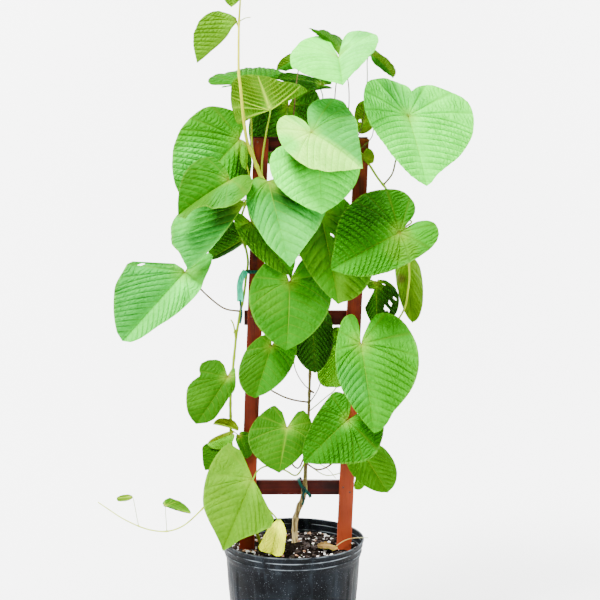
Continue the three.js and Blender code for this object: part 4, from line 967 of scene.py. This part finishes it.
        # Painted shadows of the leaves above, painted light, and a few real stains such as yellowing and a
        # brown streak.
        for where, at_x, at_y, size, name, much in leaf.patches:
            if where == side:
                away = math.hypot((x - at_x) * width, (y - at_y) * self.length)
                shade = blend(shade, GREENS[name], much * smooth(size, size * 0.4, away))
        from_joint = math.hypot(x * width, y * self.length)
        near = from_joint / self.length
        vary = 1 + 0.18 * noise.noise(Vector((x * 3, y * 3, self.seed + 5))) + 0.35 * smooth(0.45, 0.05, near)
        shade = tuple(min(c * vary, BRIGHTEST) for c in shade)
        shade = blend(shade, JOINT_GREEN, 0.45 * smooth(0.2, 0.03, near))
        if leaf.hem == side:
            shade = blend(shade, HEM_CREAM, 0.9 * smooth(0.72, 0.9, share))
        if share > 0.98:
            shade = blend(shade, EDGE_LIME, 0.12)
        shade = blend(shade, GREENS["wine"], 0.6 * smooth(6.5, 1.5, from_joint))
        return (*shade, vein)

    def half(self, side):
        rows, columns = self.rows(side), self.columns
        gap = self.leaf.gap * self.length / self.width[side]

        def vein_at(i, j):
            if i == 0:
                return 1.0
            mark, veined = rows[j][:2]
            beside_midrib = BESIDE_MIDRIB if i == 1 else 0.0
            strong = FIRST_VEIN if mark == 0 else LOBE_VEIN if mark < 0 else SIDE_VEIN
            side_vein = strong * veined * (1 - 0.7 * columns[i]) if columns[i] < 0.98 else 0.0
            return max(beside_midrib, side_vein)

        piece = grid(
            self.leaf.name + "_" + side, len(columns) - 1, len(rows) - 1,
            lambda i, j: self.point(side, rows[j], columns[i], vein_at(i, j)),
            lambda i, j: self.colour(side, rows[j], columns[i], vein_at(i, j)),
            lambda i, j: (rows[j][0], self.spot(rows[j], columns[i])[0] / gap),
        )
        self.eat(piece, side, rows)
        return piece

    def eat(self, half, side, rows):
        """Takes out the holes and bites that insects left in this half."""
        holes = [hole[1:] for hole in self.leaf.holes if hole[0] == side]
        if not holes:
            return
        body = bmesh.new()
        body.from_mesh(half.data)
        gone = []
        for face in body.faces:
            places = [divmod(corner.index, len(self.columns)) for corner in face.verts]
            spots = [self.spot(rows[j], self.columns[i]) for j, i in places]
            x, y = (sum(spot[axis] for spot in spots) / len(spots) for axis in (0, 1))
            ragged = 1 + 0.35 * noise.noise(Vector((x * 14, y * 14, self.seed)))
            if any(math.hypot((x - at_x) * self.width[side], (y - at_y) * self.length) < size * ragged
                   for at_x, at_y, size in holes):
                gone.append(face)
        bmesh.ops.delete(body, geom=gone, context="FACES")
        body.to_mesh(half.data)
        body.free()

    def sheet(self):
        sheet = weld(join([self.half(side) for side in SIDES]))
        facing = sum((f.normal * f.area for f in sheet.data.polygons), Vector())
        if facing.dot(self.up) < 0:
            sheet.data.flip_normals()
        for finish in (SKINS[self.leaf.skin], UNDER):
            sheet.data.materials.append(finish)
        return thicken(sheet, THICKNESS, 1)


def stalk(blade):
    """The petiole, from its stem to the joint, which it reaches from behind the blade."""
    leaf = blade.leaf
    way = blade.midrib.normalized()
    end = blade.joint + way * 2
    start = STEMS[leaf.stem]["whole"].at(leaf.share)
    ease = DRAWN_EASE if leaf.via else min((end - start).length / 3, MOST_EASE)
    arrive = end - way * (0.25 * ease) - blade.up * ease
    if leaf.via:
        knots = [start, *(Vector(p) for p in leaf.via), arrive, end]
    else:
        a, b = start, start.lerp(end, 0.3)
        knots = [a * (1 - t) ** 3 + b * (3 * t * (1 - t) ** 2) + arrive * (3 * t * t * (1 - t)) + end * t ** 3
                 for t in (k / 8 for k in range(9))]
    route = Route(knots)

    def radius_at(share):
        """A little thicker at the stem, with a swelling at both ends."""
        swelling = 1 + 0.35 * bump(share, 0, 0.03) + 0.2 * bump(share, 1, 0.04)
        return leaf.thick * (1.15 - 0.15 * share) * swelling

    return rod(leaf.name + "_stalk", route, radius_at, STALK_SIDES, max(10, round(route.length / STALK_STEP)),
               SKIN, lambda s: blend(GREENS[leaf.stalk], GREENS["fresh"], 0.5 * smooth(0.6, 1, s)))


def leaf_piece(leaf):
    blade = Blade(leaf)
    return coated(join([blade.sheet(), stalk(blade)]), 50)


for row in LEAVES:
    finished(leaf_piece(row), row.name, row.slot)

for name, stem in STEMS.items():
    body = [rod(name + "_skin", stem["route"], stem["radius"], stem["sides"], stem["steps"],
                BARK if name == "main_stem" else SKIN, stem["tint"], stem["rough"])]
    body += [leaf_piece(row) for row in SHOOT_LEAVES if row.stem == name]
    for owner, share, points, radius in STUBS:
        if owner == name:
            route = Route([tuple(stem["whole"].at(share)), *points])
            body.append(rod(name + "_stub", route, taper(radius, radius * 0.7), 8, 16, SKIN))
    finished(join(body), name, stem["slot"])


# ---- pot

POT_TURNS, RING_STEP = 288, 5.8
# Half a panel's width is a share of the way from one panel to the next.
PANELS, PANEL_HALF, PANEL_FOOT, PANEL_TOP, PANEL_DEPTH, ARCH_RISE = 12, 0.38, 16, 196, 1.2, 15
# The pot's outside from its foot to the rim, then its inside down to the floor, as (radius, height).
POT_FOOT = [(97, 0), (100.6, 1.1), (102, 4), (102.5, 7), (103.1, 12)]
POT_WALL = [(103.4, 14), (110, 90), (116.2, 150), (118.0, 180), (118.6, 188)]
POT_HEAD = [
    (119.0, 197), (119.5, 203), (120.6, 205.4), (121.5, 207), (121.9, 209.6), (122.8, 211.6), (123.4, 213.2),
    (123.1, 214.8), (122.9, 216.6), (123.3, 219.2), (124.1, 221.8), (125.0, 223.6), (125.2, 225.0),
    (124.9, 226.6), (125.4, 229), (126.4, 231.3), (127, 232.7), (127, 233.8), (126.5, 234.7), (125.6, 235),
    (124.6, 234.8), (124.0, 234), (123.6, 226), (123.0, 216), (121.2, 211.5), (119, 207), (117.5, 201),
    (112, 145), (105, 68), (99.6, 4), (98, 1.8)]


def wall_radius(height):
    return float(np.interp(height, [z for _, z in POT_WALL], [r for r, _ in POT_WALL]))


def inset_panels(piece):
    """Pushes an arch-topped panel into the wall between every two ribs."""
    for vertex in piece.data.vertices:
        x, y, z = vertex.co / MM
        radius = math.hypot(x, y)
        if not POT_FOOT[-1][1] < z < POT_HEAD[1][1] or abs(radius - wall_radius(z)) > 0.9:
            continue
        turn = math.atan2(y, x) / (2 * math.pi) * PANELS
        aside = abs(turn - math.floor(turn) - 0.5) / PANEL_HALF
        side = (1 - aside) * PANEL_HALF * 2 * math.pi * radius / PANELS
        top = PANEL_TOP - ARCH_RISE * (1 - math.sqrt(max(0.0, 1 - min(aside, 1) ** 2))) - z
        inside = min(side, top, z - PANEL_FOOT)
        shrink = (radius - PANEL_DEPTH * smooth(-0.6, 2.4, inside)) / radius
        vertex.co = Vector((x * shrink, y * shrink, z)) * MM


def pot_piece():
    """The base's disc, extruded ring by ring up the outside, over the rim and down the inside."""
    wall = [(wall_radius(z), float(z)) for z in np.arange(POT_WALL[0][1], POT_WALL[-1][1] + 0.1, RING_STEP)]
    (r0, z0), *rest = POT_FOOT + wall + POT_HEAD
    bpy.ops.mesh.primitive_circle_add(vertices=POT_TURNS, radius=r0 * MM, fill_type="NGON", location=(0, 0, 0))
    piece = named("nursery_pot")
    with all_in_edit():
        bpy.ops.mesh.select_mode(type="EDGE")
        for r1, z1 in rest:
            bpy.ops.mesh.extrude_region_move(TRANSFORM_OT_translate={"value": (0, 0, (z1 - z0) * MM)})
            bpy.ops.transform.resize(value=(r1 / r0, r1 / r0, 1), center_override=(0, 0, z1 * MM))
            r0, z0 = r1, z1
        bpy.ops.mesh.select_all(action="SELECT")
        bpy.ops.mesh.normals_make_consistent(inside=False)
    inset_panels(piece)
    return coated(piece, 40, POT)


finished(pot_piece(), "pot", "pot_plastic")


# ---- soil

SOIL_RADIUS, SOIL_UNDERSIDE, SOIL_TURNS, SOIL_RINGS = 118.2, 196, 160, 52
# The height of the soil at the wall, and the rise and the spread of the mound in the middle.
SOIL_EDGE, MOUND_RISE, MOUND_SPREAD = 211, 9, 70
# Grains lie between these distances from the middle, sunk by this share of their size.
GRAINS_FROM, GRAINS_TO, GRAIN_SEAT = 16, 116, 0.25
# Where the stems stand in the soil, with the room that they need, and the middles of the laths with theirs.
STEM_FEET = ((3, 19, 8), (-55, -14, 6))
LATH_FEET = {"left": -83, "right": 91}
LATH_ASIDE, LATH_BEFORE, LATH_BEHIND = 15, -6, 10


def mound(x, y):
    spread = math.hypot(x, y)
    lumps = 2.6 * noise.noise(Vector((x, y, 3)) / 17) + 1.5 * noise.noise(Vector((x, y, 9)) / 6.5)
    return SOIL_EDGE + MOUND_RISE * bump(spread, 0, MOUND_SPREAD) + lumps - 1.5 * smooth(104, 118, spread)


def soil_top():
    """The lumpy top, with a short skirt and a flat underside that close it inside the pot."""
    def place(i, j):
        angle = 2 * math.pi * (i % SOIL_TURNS) / SOIL_TURNS
        radius = 0 if j == SOIL_RINGS + 2 else SOIL_RADIUS * min(j, SOIL_RINGS) / SOIL_RINGS
        x, y = radius * math.cos(angle), radius * math.sin(angle)
        return Vector((x, y, mound(x, y) if j <= SOIL_RINGS else SOIL_UNDERSIDE))

    return coated(weld(grid("potting_mix_top", SOIL_TURNS, SOIL_RINGS + 2, place)), 60, MIX)


def crumb(name, finish, flat):
    bpy.ops.mesh.primitive_ico_sphere_add(subdivisions=2, radius=1)
    piece = named(name)
    for vertex in piece.data.vertices:
        swell = 1 + 0.55 * noise.noise(vertex.co * 1.3 + Vector((len(name), 2, 5)))
        vertex.co = Vector((vertex.co.x, vertex.co.y, vertex.co.z * flat)) * swell
    piece.data.materials.append(finish)
    return piece


def taken(x, y):
    """Where a stem or a lath stands."""
    return (any(math.hypot(x - at_x, y - at_y) < room for at_x, at_y, room in STEM_FEET)
            or any(abs(x - middle) < LATH_ASIDE and LATH_BEFORE < y < LATH_BEHIND
                   for middle in LATH_FEET.values()))


def scatter(model, count, least, most):
    """Copies of a grain on the soil, of any size from least to most."""
    seats = []
    while len(seats) < count:
        angle = chance.uniform(0, 2 * math.pi)
        radius = math.sqrt(chance.uniform(GRAINS_FROM ** 2, GRAINS_TO ** 2))
        x, y = radius * math.cos(angle), radius * math.sin(angle)
        if taken(x, y):
            continue
        size = least + (most - least) * chance.random() ** 2
        turn = Matrix.Rotation(chance.uniform(0, 6.28), 4, "Z")
        turn = turn @ Matrix.Rotation(chance.uniform(-0.7, 0.7), 4, "X")
        stretch = Matrix.Diagonal((chance.uniform(0.9, 1.6), 1, chance.uniform(0.7, 1), 1))
        seat = Matrix.Translation(Vector((x, y, mound(x, y) + size * (0.5 - GRAIN_SEAT))) * MM)
        seats.append(seat @ turn @ stretch @ Matrix.Scale(size * MM, 4))
    return copies(model, seats)


soil_bits = [
    soil_top(),
    *scatter(crumb("perlite_grain", PERLITE, 0.85), 300, 0.8, 2.8),
    *scatter(crumb("bark_grain", CRUMB, 0.7), 420, 1.4, 4.2),
    *scatter(crumb("bark_flake", CHIP, 0.3), 46, 1.8, 4.6),
]
finished(join(soil_bits), "soil", "potting_mix")


# ---- trellis

# The laths' width and depth, their worn arrises, and the way from one cut round them to the next. The cuts give
# the faces points that can be uneven.
LATH_WIDE, LATH_DEEP, ARRIS, LATH_CUTS = 26, 12, 1.5, 13.0
NAIL_RADIUS, NAIL_DEPTH, NAIL_ROUND = 1.9, 1.2, 0.5
# The two nails of each crossing: how far aside and above its middle.
CROSSING_NAILS = ((-6, 4), (6, -5))
STILE_FOOT, STILE_TOP, STILE_FRONT = 45, 943, -4
# The stiles lean to the right by this much for each millimetre that they rise. LATH_FEET and RUNG_LEFT hold at
# this height.
LEAN, MEASURED_AT = 0.0388, 213
RUNGS = {"rung_bottom": 323, "rung_middle": 629, "rung_top": 933}
RUNG_LEFT, RUNG_LENGTH, RUNG_BACK = -102.3, 205, 18.3
tilt = math.atan(LEAN)
upward, across = Vector((math.sin(tilt), 0, math.cos(tilt))), Vector((math.cos(tilt), 0, -math.sin(tilt)))
backward = Vector((0, 1, 0))


def lath_piece(name, middle, wide, deep, length, finish):
    """A sawn lath, its arrises worn round and its faces a little uneven. wide and deep are the ways of its
    faces."""
    bpy.ops.mesh.primitive_cube_add(size=1, location=(0, 0, 0))
    piece = named(name)
    with all_in_edit():
        bpy.ops.transform.resize(value=(LATH_WIDE * MM, LATH_DEEP * MM, length * MM), center_override=(0, 0, 0))
        bpy.ops.mesh.bevel(offset=ARRIS * MM, segments=4, affect="EDGES")
        for cut in np.arange(-length / 2 + 12, length / 2 - 6, LATH_CUTS):
            bpy.ops.mesh.select_all(action="SELECT")
            bpy.ops.mesh.bisect(plane_co=(0, 0, cut * MM), plane_no=(0, 0, 1))
    for vertex in piece.data.vertices:
        spot = vertex.co / MM + middle
        uneven = 0.22 * noise.noise(spot * 0.035) + 0.1 * noise.noise(spot * 0.16)
        vertex.co += Vector((uneven * 0.5, math.copysign(uneven * 0.6, vertex.co.y), 0)) * MM
    ways = Matrix((wide, deep, wide.cross(deep))).transposed().to_4x4()
    piece.data.transform(Matrix.Translation(middle * MM) @ ways)
    return coated(piece, 35, finish)


def nail_heads(name, spots):
    """Low domed heads that face the front, one turned and then copied."""
    bpy.ops.mesh.primitive_cylinder_add(vertices=16, radius=NAIL_RADIUS * MM, depth=NAIL_DEPTH * MM,
                                        location=(0, 0, 0))
    model = named(name)
    with all_in_edit():
        bpy.ops.mesh.bevel(offset=NAIL_ROUND * MM, segments=3, affect="EDGES")
    model.data.materials.append(NAIL)
    turn = Matrix.Rotation(math.pi / 2, 4, "X")
    return copies(model, [Matrix.Translation(Vector(spot) * MM) @ turn for spot in spots])


for side, at_soil in LATH_FEET.items():
    foot = at_soil - LEAN * (MEASURED_AT - STILE_FOOT)
    length = (STILE_TOP - STILE_FOOT) / math.cos(tilt)
    middle = Vector((foot, STILE_FRONT + LATH_DEEP / 2, STILE_FOOT)) + upward * (length / 2)
    # The left stile takes the lath painted in shade.
    lath = lath_piece("stile_" + side + "_lath", middle, across, backward, length,
                      LATH_PAINTED_SHADE if side == "left" else LATH)
    spots = [(at_soil + LEAN * (z - MEASURED_AT) + aside, STILE_FRONT - 0.1, z + above)
             for z in RUNGS.values() for aside, above in CROSSING_NAILS if z + above < STILE_TOP - 3]
    finished(join([lath, *nail_heads("nail_" + side, spots)]), "stile_" + side, "lath_wood")

for name, height in RUNGS.items():
    left = RUNG_LEFT + LEAN * (height - MEASURED_AT)
    middle = Vector((left + RUNG_LENGTH / 2, STILE_FRONT + RUNG_BACK, height))
    lath = lath_piece(name + "_lath", middle, Vector((0, 0, 1)), backward, RUNG_LENGTH, RUNG)
    finished(lath, name, "rung_wood")


# ---- ties

TAPE_THICKNESS, TAPE_STEP, TAPE_COLUMNS = 0.7, 2.2, 8


def tape_piece(name, points, closed, flat, half_width, finish, crumple=0.35):
    """Flat tape along a route, with creases across it. flat is the way of its width."""
    route = Route(points, closed)
    steps = max(24, round(route.length / TAPE_STEP))
    flat = Vector(flat).normalized()
    stations = route.stations(steps)

    def place(i, j):
        s = j % steps if closed else j
        spot, way, _, _ = stations[s]
        if closed and s == 0:
            way = (stations[1][0] - stations[steps - 1][0]).normalized()
        side = (flat - way * flat.dot(way)).normalized()
        share = 2 * i / TAPE_COLUMNS - 1
        crease = crumple * noise.noise(spot * 0.22 + Vector((share * 0.9, 3, 7)))
        return spot + side * (half_width * share) + way.cross(side) * crease

    tape = weld(grid(name, TAPE_COLUMNS, steps, place))
    tape.data.materials.append(finish)
    return coated(thicken(tape, TAPE_THICKNESS), 60)


LOWER_LOOP = [(21, -5.6, 323), (14, -3, 331), (10, 4, 339), (10, 14, 339.5), (12, 21.6, 338), (16, 22.4, 331),
              (21, 22.4, 323), (26, 22.4, 315), (30, 21.6, 308), (31, 14, 306.5), (31, 4, 307), (28, -3, 315)]
LOWER_KNOT = [(20, -4.6, 327), (24, -6.4, 322), (19, -6.8, 318), (17, -5.8, 324), (22, -5.4, 328)]
LOWER_END = [(20, -6.0, 322), (18, -8.0, 314), (19, -8.6, 304), (17, -8.2, 296)]
LEFT_LOOP = [(-79, -12.5, 712), (-66, -8.8, 712), (-50, -5, 712), (-49.2, 2, 712), (-50, 8.8, 712),
             (-64, 8.8, 712), (-77, 8.6, 712), (-79.5, 2, 712), (-83.8, -6, 712), (-83.9, -11, 712)]
LEFT_TAIL = [(-82, -12.4, 714), (-88, -14.6, 705), (-92, -15.8, 690), (-92, -15.5, 676), (-92, -15, 661)]
LEFT_STRING = [(-92, -15.2, 664), (-91, -14.5, 652), (-89, -14, 642), (-90, -13.6, 632), (-92, -13, 622)]
finished(join([
    tape_piece("tie_lower_loop", LOWER_LOOP, True, (1, 0, 0.7), 2.6, TAPE),
    rod("tie_lower_knot", Route(LOWER_KNOT), lambda s: 1.5, 8, 24, TAPE),
    tape_piece("tie_lower_end", LOWER_END, False, (1, 0, 0), 1.9, TAPE),
]), "tie_lower", "tie_tape")
finished(join([
    tape_piece("tie_left_loop", LEFT_LOOP, True, (0, 0, 1), 3, TAPE),
    tape_piece("tie_left_tail", LEFT_TAIL, False, (1, 0, 0), 5.4, TAIL, 1.2),
    tape_piece("tie_left_string", LEFT_STRING, False, (1, 0, 0), 1.6, TAPE),
]), "tie_left", "tie_tape")


# ---- dry leaf

DRY = leaf("dry_leaf_blade", "tan", "dry_leaf", None, 0, (77, -18, 224), (43, -14, 224), (58, -4, 225),
           (60, -33, 222), lobes=(0.4, 0.4), crown=-0.05, wave=4.0, pleat=1.6, tip_shade="brown",
           holes=[("left", 0.5, 0.93, 3.0), ("right", 0.35, 0.97, 2.6), ("left", 1.0, 0.55, 3.2)])
DRY_STALK = [(77, -18, 224), (84, -14, 228), (92, -12, 232), (101, -11, 235), (114, -10, 236.6),
             (134, -10, 236.8)]
dry_stalk = rod("dry_stalk", Route(DRY_STALK), taper(1.0, 0.8), 8, 40, SKIN,
                lambda s: blend(GREENS["tan"], (0.42, 0.5, 0.3), smooth(0.4, 1, s)))
finished(coated(join([Blade(DRY).sheet(), dry_stalk]), 60), "dry_leaf", DRY.slot)


# ---- studio


def put(name, data, place, turn):
    holder = bpy.data.objects.new(name, data)
    holder.location = place
    holder.rotation_euler = turn
    bpy.context.collection.objects.link(holder)
    return holder


def lamp(name, place, aim, size, power):
    light = bpy.data.lights.new(name, "AREA")
    light.size, light.energy = size, power
    put(name, light, place, (Vector(aim) - Vector(place)).to_track_quat("-Z", "Y").to_euler())


def studio():
    """A pale sweep, a key light, a fill, two lamps on the backdrop, and the camera at the photo's angle."""
    half_width, steps = 6000, 60
    depth = [(-8.0, 0.0), (1.4, 0.0), (1.9, 0.06), (2.3, 0.25), (2.6, 0.6), (2.75, 1.1), (2.8, 1.8), (2.8, 5.0)]
    stations = Route([(0, y * 1000, z * 1000) for y, z in depth]).stations(steps)
    sweep = grid("studio_sweep", 8, steps,
                 lambda i, j: stations[j][0] + Vector(((i / 4 - 1) * half_width, 0, 0)))
    coated(sweep, 80, sweep_finish())

    lamp("key_light", (-1.0, -1.6, 3.3), (0, 0, 0.7), 0.8, 400)
    lamp("fill_light", (2.4, -2.6, 1.6), (0, 0, 0.6), 2.4, 45)
    for side, place in (("left", -2.6), ("right", 2.6)):
        lamp("backdrop_light_" + side, (place, 0.9, 2.4), (0, 2.6, 0.9), 1.4, 330)
    world = bpy.data.worlds.new("studio_air")
    world.use_nodes = True
    air = world.node_tree.nodes["Background"].inputs
    air["Color"].default_value = (1, 1, 1, 1)
    air["Strength"].default_value = 0.75
    bpy.context.scene.world = world

    camera = bpy.data.cameras.new("photo_camera")
    camera.lens = 78
    camera.sensor_width = 36
    bpy.context.scene.camera = put("photo_camera", camera, (0.0125, -2.266, 0.912), (math.radians(83.7), 0, 0))


studio()
